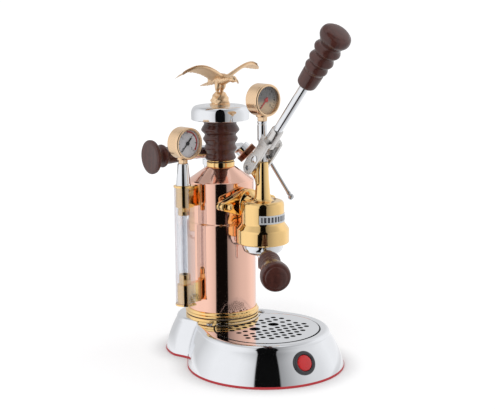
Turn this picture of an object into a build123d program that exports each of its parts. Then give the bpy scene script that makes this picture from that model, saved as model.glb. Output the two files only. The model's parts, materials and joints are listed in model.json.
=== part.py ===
from build123d import *
import math
import os

# Lever espresso machine, in millimetres. The origin is on the floor under the boiler's axis.
# +Z is up, and the front of the machine (group, drip tray, switch) looks along -Y.

# Gaps used everywhere
overrun = 1.0
seat_gap = 0.3
running_gap = 0.05
hair = 0.5
half_turn = 180.0

# Places shared by several pieces
lobe_y = 12.0
boiler_r = 45.0
group_reach = 38.5
sight_reach = 21.0
sight_y = -6.0

# Base: a round front dome and a smaller rear lobe with planed flanks
strip_h = 3.0
plateau_z = 48.4
brow_z = 42.5
floor_r = 100.0
front_reach = 11.6
brow_inset = 18.0
plateau_inset = 24.0
shoulder_share = 0.65
wall_arc_r = 130.0
sheet = 1.2
lobe_margin = 23.0
lobe_share = 0.8
front_share = 1.0
waist_y = -56.0
waist_floor_r = 80.0
waist_share = 0.61
flank_margin = 19.4
flank_turn = 15.1

# Rubber strip under the base edge, and the plate that closes the base
strip_proud = 0.6
strip_lip = 3.4
floor_plate_t = 1.5

# Drip tray and its perforated grille
tray_ahead = 2.6
tray_margin = 33.0
tray_bite_gap = 2.5
tray_ear_r = 7.0
tray_groove = 1.3
tray_ledge = 3.2
tray_ledge_t = 1.0
tray_sheet = 1.0
tray_depth = 22.0
grille_t = 2.0
grille_proud = 0.4
hole_share = 0.05224
pitch_share = 0.156716
finger_hole_scale = 2.0
finger_hole_step = 1.5
row_count = (8, 9, 9, 10, 9, 6, 3)
row_shares = (0.0953, 0.1925, 0.4486, 0.5449, 0.6411, 0.7374, 0.8336)
middle_share = 0.3206
middle_row_steps = (0, -3, 3, -4, 4)

# Screws in the deck beside the boiler
deck_screw_gap = 4.644
deck_screw_turn = 32.94
deck_screw_r = 4.1
deck_screw_h = 1.6
deck_shank_r = 2.0
deck_shank = 8.0
deck_slot_w = 1.0
deck_slot_depth = 0.7

# Push switch in the front wall
switch_turn = -10.1
switch_z = 26.4
bezel_r = 15.0
bezel_proud = 2.8
bezel_depth = 15.0
bezel_edge = 1.8
button_r = 10.0
button_well = 13.0
button_proud = 1.4
button_crown = 1.6
button_length = 9.0

# Gland for the mains lead in the back of the rear lobe
gland_z = 18.0
gland_r = 7.0
gland_flange_r = 9.5
gland_flange_t = 2.5
gland_inside = 12.0
gland_nose = 9.0
gland_nose_r = 5.8
gland_bore_r = 3.6

# Boiler: flange, gasket, base ring, ring nut and copper shell
flange_margin = 3.5
flange_h = 3.0
gasket_inset = 0.3
gasket_h = 2.6
collar_inset = 13.0
collar_wall = 3.5
collar_drop = 16.0
ring_margin = 3.7
ring_lip = 1.8
ring_floor = 3.0
ring_h = 7.0
ring_edge = 1.0
ring_nut_wall = 9.0
ring_nut_h = 7.0
notch_count = 6
ring_nut_notch_r = 3.0
boiler_wall = 2.0
seam_h = 119.0
seam_step = 1.8
seam_step_h = 2.2
upper_h = 50.8
shoulder_inset = 1.2
shoulder_h = 2.2
cone_h = 16.3
cone_top_r = 18.6
cone_bore_r = 15.0

# Heating element inside the boiler
element_flange_t = 3.0
element_r = 3.5
element_span = 26.0
element_pitch = 18.0
element_h = 78.0
terminal_r = 2.5
terminal_length = 8.0

# Filler ring, cap seal and cap
filler_r = 18.3
filler_h = 6.5
filler_neck_r = 14.9
filler_neck_drop = 8.0
filler_bore_r = 12.0
cap_seal_r = 17.5
cap_seal_h = 1.2
plug_flange_t = 1.0
plug_drop = 10.0
plug_stem_r = 5.0
stem_top_share = 0.6
grip_h = 53.8
grip_foot_r = 17.8
grip_shape = (
    (1.0, 0.0), (1.13, 0.05), (1.03, 0.165), (1.2, 0.285), (1.08, 0.388), (1.275, 0.51),
    (1.145, 0.615), (1.4, 0.728), (1.19, 0.87), (1.25, 0.93), (1.25, 1.0))
disc_r = 38.0
disc_h = 13.0
disc_shape = ((0.86, 0.0), (0.97, 0.2), (1.0, 0.5), (0.965, 0.84), (0.86, 1.0))
disc_groove_r = 18.5
disc_groove_w = 1.0
disc_groove_depth = 0.6

# Eagle on the cap: rock, body, head, legs, tail and spread wings
rock_r = 12.6
rock_h = 21.0
rock_shape = ((1.0, 0.0), (1.05, 0.13), (0.84, 0.17), (0.86, 0.35), (0.66, 0.62), (0.55, 1.0))
eagle_h = 37.5
body_length = 50.0
body_r = 7.4
body_shape = (
    (-0.50, 0.40, 0.0), (-0.36, 0.62, 0.1), (-0.18, 0.95, 0.0), (0.0, 1.0, 0.0),
    (0.18, 0.86, 0.1), (0.34, 0.56, -0.1), (0.48, 0.30, -0.5))
head_r = 4.4
head_share = 0.55
head_drop = 1.2
beak_length = 6.5
beak_r = 2.4
beak_tip_r = 0.6
beak_droop = 14.0
leg_r = 2.3
leg_spread = 3.6
leg_h = 16.0
wing_span = 69.0
wing_root = 3.0
wing_rise = 17.0
wing_chord = 25.0
wing_t = 3.2
wing_shape = (
    (0.0, 0.1, 0.80, 1.6, 0.0), (0.25, 0.62, 0.95, 1.1, 0.02), (0.5, 0.86, 0.98, 0.8, 0.04),
    (0.72, 0.68, 0.80, 0.7, 0.12), (0.88, 0.34, 0.52, 0.6, 0.22), (1.0, 0.0, 0.2, 0.5, 0.34))
tail_root_share = 0.32
tail_length = 19.0
tail_root_w = 6.0
tail_w = 15.0
tail_t = 2.4
tail_scallop = 2.0
tail_lean = -10.0

# Steam valve behind the cap, its knob, and the wand
valve_y = 32.0
valve_rise = 16.0
valve_turn = 4.0
valve_outline = (
    (0.0, -42.0), (7.4, -42.0), (8.8, -40.6), (8.8, -30.0), (7.0, -28.0), (7.0, -20.0),
    (8.8, -17.0), (8.8, 14.0), (7.0, 20.0), (6.6, 40.0), (6.8, 60.0), (5.4, 61.5), (0.0, 61.5))
valve_foot_x = 6.0
valve_foot_r = 7.0
valve_foot_drop = 36.0
valve_foot_nut_r = 9.5
valve_foot_nut_h = 7.0
valve_foot_nut_drop = 18.0
valve_bore_end = 58.5
steam_bore_r = 2.0
spindle_r = 3.0
spindle_seat = -12.0
spindle_start = -60.0
knob_face = -87.0
knob_length = 43.0
knob_shape = (
    (18.5, 0.0), (21.6, 0.03), (22.0, 0.08), (20.6, 0.14), (13.0, 0.19), (11.2, 0.25),
    (11.4, 0.33), (14.7, 0.41), (14.4, 0.49), (11.6, 0.56), (11.0, 0.75), (10.4, 1.0))
ball_x = 63.5
ball_y = 23.2
ball_drop = 7.0
ball_r = 7.5
socket_gap = 0.1
nozzle_side = 0.502
nozzle_drop = 0.704
nozzle_r = 10.8
nozzle_back = 11.0
nut_r = 14.5
nut_back = 4.0
nut_thread_front = 0.8
nut_mouth_z = 2.7
nut_front = 4.5
nut_edge = 1.2
nut_mouth_r = 7.1
nut_flare_r = 10.0
wand_r = 2.5
wand_bore_r = 1.5
wand_turn = -45.0
wand_reach = 27.0
wand_sag = 4.2
tip_reach = 60.0
tip_drop = 60.1
wand_bend_r = 14.0
tip_r = 4.3
tip_jet_r = 0.8
jet_count = 3
tip_jet_lean = 50.0

# Sight glass, its blocks and clear shield on the left of the boiler
sight_block_r = 10.0
sight_block_reach = 40.0
upper_block_rise = 24.2
upper_block_h = 25.9
lower_block_z = 75.9
lower_block_h = 25.5
sight_port_r = 2.5
sight_plate_r = 12.6
sight_plate_t = 2.0
sight_nut_r = 8.3
sight_nut_lip_r = 7.4
sight_nut_h = 10.4
sight_nut_lip_share = 0.5
lower_nut_h = 13.1
tube_r = 4.2
tube_bore_r = 2.7
tube_seat = 3.0
tube_socket = 4.0
shield_r = 12.3
shield_t = 0.9
shield_reach = 20.0
side_count = 6

# Gauges, alike in size, and the stems that carry them
gauge_r = 20.2
gauge_depth = 22.0
gauge_edge = 1.6
gauge_face_edge = 1.0
gauge_lip_r = 17.2
gauge_lip_t = 1.6
gauge_well_r = 18.0
gauge_well = 6.5
gauge_fit = 0.1
gauge_hex_r = 6.6
gauge_hex_h = 5.6
gauge_post_r = 4.5
gauge_post_length = 7.0
stem_socket = 8.0
dial_t = 0.8
crystal_t = 1.2
needle_lift = 0.3
needle_hub_r = 1.7
needle_hub_t = 2.0
needle_spindle_r = 0.8
needle_spindle = 3.0
needle_length = 13.0
needle_tail = 5.0
needle_w = 1.4
needle_t = 0.6
needle_rest = 228.0
cone_stem_r = 9.6
cone_stem_top_r = 6.9
boiler_gauge_rise = 82.3
boiler_gauge_proud = 15.4
piston_gauge_rise = 180.5
piston_gauge_proud = 12.5

# Flange between boiler and group
flange_rise = 27.8
flange_half_r = 18.5
flange_end_r = 8.0
flange_end_x = 38.0
flange_back_gap = 0.6
boiler_plate_t = 4.9
flange_gasket_t = 1.4
group_plate_t = 6.0
saddle_r = 16.0
knee_r = 17.0
knee_end_r = 7.6
knee_length = 22.0
water_bore_r = 4.0
stud_x = 35.0
stud_r = 3.5
acorn_r = 6.4
acorn_h = 4.6
acorn_shape = ((5.4, 0.0), (4.4, 2.0))
acorn_crown = 1.8

# Group: bell, neck, cylinder and seals
bell_drop = 46.5
bell_outline = (
    (32.4, 0.0), (33.6, 1.2), (33.6, 18.0), (27.4, 26.5), (27.4, 49.0), (26.8, 51.4), (25.0, 53.5),
    (22.6, 54.1), (13.4, 54.1), (10.8, 56.7), (9.6, 62.0), (8.2, 80.5), (7.4, 103.3))
bell_upper_r = 27.4
neck_slot_h = 77.0
neck_slot_w = 6.6
bayonet_r = 29.6
bayonet_mouth_r = 26.6
bayonet_ledge_t = 3.0
bayonet_slot_angle = 46.0
bayonet_h = 12.5
bore_r = 24.2
bore_h = 48.5
sleeve_wall = 1.0
sleeve_clear = 1.0
seal_h = 3.0
seal_inner_r = 23.9
seal_fit = 0.2
screen_r = 23.6
screen_t = 1.2
screen_hole_r = 1.2
screen_rings = ((8, 0.42), (14, 0.78))
scale_h = 27.8
scale_height = 10.8
scale_t = 0.4
scale_span = 100.0

# Piston, rod and their pin
piston_r = 22.6
piston_rise = 35.1
piston_h = 11.6
piston_floor = 3.0
groove_h = 3.0
groove_depth = 2.4
groove_shares = (0.12, 0.62)
rod_r = 5.0
rod_top_rise = 129.5
gauge_stem_r = 6.3
stem_relief = 0.7
rod_pin_rise = 107.9
pin_r = 2.9
pin_half = 13.6
pin_edge = 0.6

# Lever: fulcrum, fork, rod and wooden handle
fulcrum_behind = 15.2
fulcrum_rise = 94.7
boss_r = 7.8
boss_half = 8.5
web_half = 6.0
web_outline = (
    (4.5, 66.5), (9.5, 80.5), (17.5, 87.0), (22.5, 91.5), (23.0, 96.5), (19.5, 102.0),
    (13.5, 102.8), (4.5, 98.5))
fork_in = 8.8
ear_t = 4.2
ear_outline = (
    (14.9, 86.7), (21.1, 89.1), (23.1, 94.5), (21.9, 98.9), (14.7, 108.5), (1.7, 117.6),
    (-6.8, 127.2), (-13.0, 138.1), (-24.3, 125.3), (-11.7, 109.7), (7.3, 88.3), (11.1, 86.5))
ear_slot_r = 4.2
ear_slot_middle = 17.9
ear_slot_length = 3.4
ear_slot_lift = 41.0
bridge_back = 24.0
bridge_t = 7.0
bridge_depth = 14.0
lever_lean = 40.6
lever_ahead = 28.9
lever_rise = 145.1
socket_back = 27.0
socket_front = 1.5
socket_r = 8.4
socket_top_r = 7.6
rod_socket = 20.0
lever_rod_r = 5.8
handle_start = 76.0
handle_length = 85.0
handle_bore = 26.0
handle_crown = 1.8
handle_shape = (
    (7.5, 0.0), (10.5, 0.022), (12.3, 0.07), (12.9, 0.25), (12.4, 0.285), (14.4, 0.35), (12.4, 0.42),
    (12.8, 0.44), (15.6, 0.50), (12.9, 0.58), (13.2, 0.61), (16.8, 0.68), (13.7, 0.76), (15.2, 0.81),
    (19.0, 0.89), (18.2, 0.965), (14.5, 1.0))

# Portafilter: basket, cup, spout and wooden handle
cup_drop = 13.5
cup_outline = ((20.0, 0.0), (24.5, 3.4), (26.2, 8.0), (26.2, 21.4))
cup_floor = 3.2
cup_bore_r = 24.7
lug_outer_r = 29.2
lug_h = 16.8
lug_t = 3.0
lug_span = 36.0
basket_rim_r = 26.0
basket_rim_t = 1.0
basket_r = 24.1
basket_t = 0.6
basket_depth = 15.5
basket_hole_r = 1.2
basket_rings = ((6, 0.35), (10, 0.7))
spout_r = 6.4
spout_bore_r = 3.2
spout_length = 21.0
spout_hex_r = 8.5
spout_hex_h = 5.0
grip_turn = -34.5
grip_droop = 2.2
grip_rise = 7.0
ferrule_start = 22.0
ferrule_r = 5.8
ferrule_waist = 36.0
ferrule_end_r = 7.6
grip_start = 50.0
grip_length = 90.0
grip_crown = 2.2
tang_r = 4.0
tang_length = 30.0
grip_wood_shape = (
    (8.4, 0.0), (10.2, 0.03), (10.4, 0.10), (9.2, 0.15), (13.4, 0.22), (13.6, 0.27), (11.8, 0.32),
    (13.4, 0.38), (11.9, 0.43), (13.6, 0.50), (12.6, 0.56), (15.0, 0.68), (17.6, 0.85), (18.0, 0.93),
    (16.6, 0.985), (13.0, 1.0))

# Sizes, heights and places that follow from the sizes above
front_y = front_reach - floor_r
group_y = -boiler_r - group_reach
sight_x = -boiler_r - sight_reach
lobe_floor_r = boiler_r + lobe_margin
flank_reach = boiler_r + flank_margin
boiler_upper_r = boiler_r - seam_step
flange_r = boiler_r + flange_margin
collar_r = boiler_r - collar_inset
ring_nut_r = collar_r + ring_nut_wall
ring_r = boiler_r + ring_margin
ring_lip_r = boiler_r + ring_lip
tray_y = front_y - tray_ahead
tray_r = floor_r - tray_margin
tray_bite_r = flange_r + tray_bite_gap
tray_span = tray_r - tray_y - tray_bite_r
middle_row_y = -tray_bite_r - middle_share * tray_span
hole_r = hole_share * tray_r
hole_pitch = pitch_share * tray_r
deck_screw_x = (flange_r + deck_screw_gap) * math.cos(math.radians(deck_screw_turn))
deck_screw_y = -(flange_r + deck_screw_gap) * math.sin(math.radians(deck_screw_turn))
deck_under_z = plateau_z - sheet
ledge_z = plateau_z + grille_proud - grille_t - tray_sheet
gasket_z = plateau_z + flange_h
ring_z = gasket_z + gasket_h
collar_z = ring_z - collar_drop
shell_z = ring_z + ring_floor
seam_z = shell_z + seam_h
seam_top_z = seam_z + seam_step_h
flange_z = seam_top_z + flange_rise
bell_z = flange_z - bell_drop
shoulder_z = seam_top_z + upper_h
cone_z = shoulder_z + shoulder_h
filler_z = cone_z + cone_h
valve_z = filler_z + valve_rise
ball_z = valve_z - ball_drop
cap_seal_z = filler_z + filler_h
plug_z = cap_seal_z + cap_seal_h
grip_foot_z = plug_z + plug_flange_t
disc_z = grip_foot_z + grip_h
disc_top_z = disc_z + disc_h
stem_top_z = disc_z + stem_top_share * disc_h
eagle_z = disc_top_z + eagle_h
head_y = -head_share * body_length
tail_root_y = tail_root_share * body_length
upper_block_z = seam_top_z + upper_block_rise
boiler_gauge_z = upper_block_z + boiler_gauge_rise
sight_top_z = upper_block_z + upper_block_h
cone_stem_z = sight_top_z + sight_plate_t
cone_stem_top_z = boiler_gauge_z - gauge_r - gauge_hex_h - seat_gap
piston_gauge_z = bell_z + piston_gauge_rise
gauge_stem_z = piston_gauge_z - gauge_r - gauge_hex_h - seat_gap
flange_back_y = -boiler_r - flange_back_gap
plate_front_y = flange_back_y - boiler_plate_t
gasket_front_y = plate_front_y - flange_gasket_t
group_plate_y = gasket_front_y - group_plate_t
bell_ledge_z = bell_z + bayonet_ledge_t
bayonet_top_z = bell_z + bayonet_h
bore_top_z = bell_z + bore_h
neck_top_z = bell_z + bell_outline[-1][1]
slot_z = bell_z + neck_slot_h
cup_z = bell_z - cup_drop
grip_z = cup_z + grip_rise
cup_rim_z = cup_z + cup_outline[-1][1]
lug_z = cup_z + lug_h
piston_z = bell_z + piston_rise
rod_top_z = bell_z + rod_top_rise
rod_pin_z = bell_z + rod_pin_rise
fulcrum_y = group_y + fulcrum_behind
fulcrum_z = bell_z + fulcrum_rise
lever_z = bell_z + lever_rise
lever_y = group_y - lever_ahead
boiler_gauge_face = sight_y - boiler_gauge_proud
piston_gauge_face = group_y - piston_gauge_proud
handle_angle = grip_turn - half_turn / 2


def disc(radius, bottom, top):
    """Upright cylinder about Z between two heights."""
    return Pos(0, 0, bottom) * extrude(Circle(radius), top - bottom)


def ring(outer, inner, bottom, top):
    """Upright ring about Z between two heights."""
    return Pos(0, 0, bottom) * extrude(Circle(outer) - Circle(inner), top - bottom)


def prism(radius, bottom, top):
    """Upright hexagonal prism about Z."""
    return Pos(0, 0, bottom) * extrude(RegularPolygon(radius, side_count), top - bottom)


def turned(outline):
    """Solid turned about Z from a closed outline of (radius, height) points."""
    points = [(radius, 0, height) for radius, height in outline]
    return revolve(make_face(Polyline(*points, close=True)), Axis.Z)


def cap_arc(radius, height, crown):
    """Arc of a shallow spherical cap, from its rim to its top on the axis."""
    bend_r = (radius ** 2 + crown ** 2) / (2 * crown)
    half = math.asin(radius / bend_r) / 2
    centre = height + crown - bend_r
    middle = (bend_r * math.sin(half), 0, centre + bend_r * math.cos(half))
    return ThreePointArc((radius, 0, height), middle, (0, 0, height + crown))


def turned_curve(outline, crown=0):
    """Solid turned about Z with one smooth side, and a domed end when a crown is given."""
    side = Spline(*[(radius, 0, height) for radius, height in outline])
    first, last = outline[0], outline[-1]
    top = (0, 0, last[1] + crown)
    end = cap_arc(*last, crown) if crown else Line((last[0], 0, last[1]), top)
    closing = Polyline(top, (0, 0, first[1]), (first[0], 0, first[1])).edges()
    return revolve(make_face([side, end, *closing]), Axis.Z)


def scaled(shape, radius, length, start=0):
    """Outline whose radii are shares of a radius and whose places are shares of a length."""
    return [(share * radius, start + place * length) for share, place in shape]


def placed(shape, length, start=0):
    """Outline with real radii whose places are shares of a length."""
    return [(radius, start + place * length) for radius, place in shape]


def sector(outer, inner, angle, span, bottom, top):
    """Piece of an upright ring about Z, centred on an angle."""
    edges = [math.radians(angle + side * span / 2) for side in (-1, 1)]
    corners = [(2 * outer * math.cos(edge), 2 * outer * math.sin(edge)) for edge in edges]
    wedge = make_face(Polyline((0, 0), *corners, close=True))
    return Pos(0, 0, bottom) * extrude((Circle(outer) - Circle(inner)) & wedge, top - bottom)


def round_holes(radius, rings, reach):
    """Circles spread evenly on rings given as (count, share of the reach)."""
    return [
        Rot(0, 0, step * 2 * half_turn / count) * Pos(share * reach, 0) * Circle(radius)
        for count, share in rings for step in range(count)]


def yz_plate(outline, start, thickness):
    """Plate across the machine from (behind the group's axis, above the bell's mouth) points."""
    points = [(start, group_y + behind, bell_z + rise) for behind, rise in outline]
    return extrude(make_face(Polyline(*points, close=True)), thickness, dir=(1, 0, 0))


def cross_pin(radius, y, z, left, right):
    """Cylinder along X."""
    return Plane(origin=(left, y, z), z_dir=(1, 0, 0)) * extrude(Circle(radius), right - left)


def along_front(radius, x, back, front):
    """Cylinder along Y at the flange's height."""
    return Plane(origin=(x, back, flange_z), z_dir=(0, -1, 0)) * extrude(Circle(radius), back - front)


def at_group(shape):
    """Moves a shape made about Z to the group's axis."""
    return Pos(0, group_y, 0) * shape


def at_sight(shape):
    """Moves a shape made about Z to the axis of the sight glass."""
    return Pos(sight_x, sight_y, 0) * shape


def wall_centre(foot_r, share):
    """Centre of the arc that a base wall follows, in radius and height."""
    foot = (foot_r, strip_h)
    brow = (foot_r - share * brow_inset, brow_z)
    half = math.dist(foot, brow) / 2
    back = math.sqrt(wall_arc_r ** 2 - half ** 2)
    run = ((brow[0] - foot[0]) / (2 * half), (brow[1] - foot[1]) / (2 * half))
    return ((foot[0] + brow[0]) / 2 - back * run[1], (foot[1] + brow[1]) / 2 + back * run[0])


def wall_face(foot_r, share, skin, drop, back=0):
    """Section of a base dome, a skin's thickness inside it and reaching lower by a drop."""
    centre = wall_centre(foot_r, share)
    reach = wall_arc_r - skin
    low = math.asin((strip_h - centre[1]) / reach)
    high = math.asin((brow_z - centre[1]) / wall_arc_r)
    foot, middle, brow = [
        (centre[0] + reach * math.cos(turn), 0, centre[1] + reach * math.sin(turn))
        for turn in (low, (low + high) / 2, high)]
    top = (foot_r - share * plateau_inset - skin / 2, 0, plateau_z - skin)
    bend = (
        top[0] + (brow[0] - top[0]) * shoulder_share, 0, brow[2] + (top[2] - brow[2]) * shoulder_share)
    corners = [top, (back, 0, top[2]), (back, 0, strip_h - drop), (foot[0], 0, strip_h - drop)]
    if drop:
        corners.append(foot)
    edges = [ThreePointArc(foot, middle, brow), ThreePointArc(brow, bend, top)]
    return make_face(edges + list(Polyline(*corners).edges()))


def base_body(skin, drop):
    """Outer or inner form of the base."""
    front = Pos(0, front_y, 0) * revolve(wall_face(floor_r, front_share, skin, drop), Axis.Z)
    lobe = revolve(wall_face(lobe_floor_r, lobe_share, skin, drop), Axis.Z)
    flank = extrude(wall_face(flank_reach, lobe_share, skin, drop, -floor_r), floor_r, both=True)
    for turn in (-flank_turn, half_turn + flank_turn):
        lobe = lobe & (Rot(0, 0, turn) * flank)
    waist = Pos(0, waist_y, 0) * revolve(wall_face(waist_floor_r, waist_share, skin, drop), Axis.Z)
    return front + waist + Pos(0, lobe_y, 0) * lobe


def base_plan(grow):
    """Plan outline of the base edge, grown or shrunk."""
    lobe = Circle(lobe_floor_r + grow)
    half = Pos(flank_reach + grow - floor_r, 0) * Rectangle(2 * floor_r, 2 * floor_r)
    for turn in (-flank_turn, half_turn + flank_turn):
        lobe = lobe & (Rot(0, 0, turn) * half)
    plan = Pos(0, front_y) * Circle(floor_r + grow) + Pos(0, waist_y) * Circle(waist_floor_r + grow)
    return plan + Pos(0, lobe_y) * lobe


def tray_plan(grow):
    """Plan outline of the grille: round at the front, hollowed round the boiler's flange."""
    plan = Pos(0, tray_y) * Circle(tray_r + grow) - Circle(tray_bite_r - grow)
    return fillet(plan.vertices().sort_by(Axis.Y)[-2:], tray_ear_r + grow)


def wall_plane(centre_y, foot_r, share, turn, height):
    """Plane on a base wall at a height, turned from the front, with Z pointing out of the wall."""
    centre = wall_centre(foot_r, share)
    lean = math.asin((height - centre[1]) / wall_arc_r)
    radius = centre[0] + wall_arc_r * math.cos(lean)
    side, ahead = math.sin(math.radians(turn)), -math.cos(math.radians(turn))
    return Plane(
        origin=(radius * side, centre_y + radius * ahead, height), x_dir=(-ahead, side, 0),
        z_dir=(math.cos(lean) * side, math.cos(lean) * ahead, math.sin(lean)))


def leaning_plane(origin, turn, lean):
    """Plane whose Z points to a side turned from the front and leans up from level."""
    side, ahead = math.sin(math.radians(turn)), -math.cos(math.radians(turn))
    flat = math.cos(math.radians(lean))
    return Plane(origin=origin, x_dir=(-ahead, side, 0),
                 z_dir=(side * flat, ahead * flat, math.sin(math.radians(lean))))


def gauge_frame(x, face_y, z):
    """Plane of a gauge face, with Z pointing out of the face."""
    return Plane(origin=(x, face_y, z), x_dir=(1, 0, 0), z_dir=(0, -1, 0))


switch_plane = wall_plane(front_y, floor_r, front_share, switch_turn, switch_z)
gland_plane = wall_plane(lobe_y, lobe_floor_r, lobe_share, half_turn, gland_z)
valve_plane = leaning_plane((0, valve_y, valve_z), half_turn / 2 - valve_turn, 0)
lever_plane = leaning_plane((0, lever_y, lever_z), 0, half_turn / 2 - lever_lean)
grip_plane = leaning_plane((0, group_y, grip_z), grip_turn, -grip_droop)
ball_plane = Plane(
    origin=(ball_x, ball_y, ball_z), x_dir=(1, 1, 0), z_dir=(nozzle_side, -nozzle_side, -nozzle_drop))
boiler_gauge_frame = gauge_frame(sight_x, boiler_gauge_face, boiler_gauge_z)
piston_gauge_frame = gauge_frame(0, piston_gauge_face, piston_gauge_z)


def base_shell():
    """Pressed sheet base with its tray opening, boiler hole, switch hole and lead hole."""
    shell = base_body(0, 0) - base_body(sheet, overrun)
    low = ledge_z - tray_ledge_t
    shell += Pos(0, 0, low) * extrude(tray_plan(tray_groove + sheet), plateau_z - low)
    shell -= Pos(0, 0, ledge_z) * extrude(tray_plan(tray_groove), plateau_z)
    shell -= Pos(0, 0, low - overrun) * extrude(tray_plan(-tray_ledge), plateau_z)
    shell -= disc(collar_r + seat_gap, deck_under_z - overrun, plateau_z + overrun)
    shell -= switch_plane * disc(bezel_r + running_gap, -bezel_depth, bezel_depth)
    shell -= gland_plane * disc(gland_r + running_gap, -gland_inside, gland_inside)
    for side in (-1, 1):
        shell -= Pos(side * deck_screw_x, deck_screw_y, 0) * disc(
            deck_shank_r + running_gap, deck_under_z - overrun, plateau_z + overrun)
    return shell


def trim_strip():
    """Red rubber strip that the base stands on."""
    return extrude(base_plan(strip_proud) - base_plan(-strip_lip), strip_h)


def bottom_plate():
    """Plate that closes the base inside the strip."""
    return extrude(base_plan(-strip_lip - seat_gap), floor_plate_t)


def deck_screws():
    """Two slotted screws in the deck beside the boiler."""
    screw = disc(deck_screw_r, plateau_z, plateau_z + deck_screw_h)
    screw = chamfer(screw.edges().group_by(Axis.Z)[-1], hair)
    screw += disc(deck_shank_r, plateau_z - deck_shank, plateau_z)
    screw -= Pos(0, 0, plateau_z + deck_screw_h) * Box(2 * deck_screw_r, deck_slot_w, 2 * deck_slot_depth)
    return Compound([Pos(side * deck_screw_x, deck_screw_y, 0) * screw for side in (-1, 1)])


def switch_housing():
    """Round bezel and body of the switch."""
    well_r = button_r + seat_gap
    return switch_plane * turned([
        (0, -bezel_depth), (bezel_r, -bezel_depth), (bezel_r, bezel_proud - bezel_edge),
        (bezel_r - bezel_edge / 2, bezel_proud - bezel_edge / 4), (bezel_r - bezel_edge, bezel_proud),
        (well_r + hair, bezel_proud), (well_r, bezel_proud - hair), (well_r, -button_well),
        (0, -button_well)])


def switch_button():
    """Push button with a domed face."""
    low = button_proud - button_length
    top = (0, 0, button_proud + button_crown)
    side = Polyline(top, (0, 0, low), (button_r, 0, low), (button_r, 0, button_proud))
    crown = cap_arc(button_r, button_proud, button_crown)
    return switch_plane * revolve(make_face([*side.edges(), crown]), Axis.Z)


def cord_gland():
    """Rubber gland for the mains lead."""
    gland = turned([
        (0, -gland_inside), (gland_r, -gland_inside), (gland_r, 0), (gland_flange_r, 0),
        (gland_flange_r, gland_flange_t), (gland_r, gland_flange_t + hair), (gland_nose_r, gland_nose),
        (0, gland_nose)])
    return gland_plane * (gland - disc(gland_bore_r, -gland_inside, gland_nose))


def drip_tray():
    """Deep tray that hangs by its rim on the ledge of the base."""
    floor_z = ledge_z - tray_depth
    tray = Pos(0, 0, ledge_z) * extrude(tray_plan(0), tray_sheet)
    tray += Pos(0, 0, floor_z) * extrude(tray_plan(-tray_ledge - seat_gap), tray_depth)
    inside = tray_plan(-tray_ledge - seat_gap - tray_sheet)
    return tray - Pos(0, 0, floor_z + tray_sheet) * extrude(inside, tray_depth + overrun)


def drip_grille():
    """Perforated plate with two finger holes, on the tray's rim."""
    holes = [
        Pos((step - (count - 1) / 2) * hole_pitch, -tray_bite_r - share * tray_span) * Circle(hole_r)
        for count, share in zip(row_count, row_shares) for step in range(count)]
    holes += [Pos(step * hole_pitch, middle_row_y) * Circle(hole_r) for step in middle_row_steps]
    finger_hole = Circle(finger_hole_scale * hole_r)
    holes += [Pos(side * finger_hole_step * hole_pitch, middle_row_y) * finger_hole for side in (-1, 1)]
    return Pos(0, 0, ledge_z + tray_sheet) * extrude(tray_plan(0) - holes, grille_t)


def boiler_lower_flange():
    """Brass flange between the deck and the gasket."""
    flange = ring(flange_r, collar_r + seat_gap, plateau_z, gasket_z)
    return chamfer(flange.edges().group_by(Axis.Z)[-1].sort_by(SortBy.LENGTH)[-1], hair)


def boiler_gasket():
    """Flat rubber gasket under the boiler."""
    return ring(flange_r - gasket_inset, collar_r + seat_gap, gasket_z, ring_z)


def boiler_base_ring():
    """Brass ring that holds the shell, with the threaded collar that passes the deck."""
    inner = collar_r - collar_wall
    bore = boiler_r + running_gap
    return turned([
        (inner, collar_z), (collar_r, collar_z), (collar_r, ring_z), (ring_r - ring_edge, ring_z),
        (ring_r, ring_z + ring_edge), (ring_r, shell_z - ring_edge / 2), (ring_lip_r + hair, shell_z),
        (ring_lip_r, shell_z + hair), (ring_lip_r, ring_z + ring_h - ring_edge),
        (ring_lip_r - ring_edge, ring_z + ring_h), (bore, ring_z + ring_h), (bore, shell_z),
        (inner, shell_z)])


def boiler_ring_nut():
    """Notched nut that pulls the boiler down onto the deck."""
    nut = ring(ring_nut_r, collar_r + running_gap, deck_under_z - ring_nut_h, deck_under_z)
    for step in range(notch_count):
        nut -= Rot(0, 0, step * 2 * half_turn / notch_count) * Pos(ring_nut_r, 0, 0) * disc(
            ring_nut_notch_r, 0, plateau_z)
    return nut


def boiler_shell():
    """Copper shell with a stepped seam, a shoulder and a cone."""
    shell = turned([
        (boiler_r - boiler_wall, shell_z), (boiler_r, shell_z), (boiler_r, seam_z),
        (boiler_upper_r, seam_top_z), (boiler_upper_r, shoulder_z),
        (boiler_upper_r - shoulder_inset / 4, shoulder_z + shoulder_h * shoulder_share),
        (boiler_upper_r - shoulder_inset, cone_z), (cone_top_r, filler_z), (cone_bore_r, filler_z),
        (cone_bore_r, filler_z - boiler_wall), (boiler_upper_r - boiler_wall, shoulder_z - boiler_wall),
        (boiler_upper_r - boiler_wall, seam_top_z), (boiler_r - boiler_wall, seam_z - boiler_wall)])
    shell -= Pos(valve_foot_x, valve_y, 0) * disc(valve_foot_r + running_gap, seam_z, valve_z)
    shell -= along_front(water_bore_r, 0, 0, -boiler_r)
    for height in (upper_block_z + upper_block_h / 2, lower_block_z + lower_block_h / 2):
        shell -= cross_pin(sight_port_r, sight_y, height, sight_x, 0)
    return shell


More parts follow.
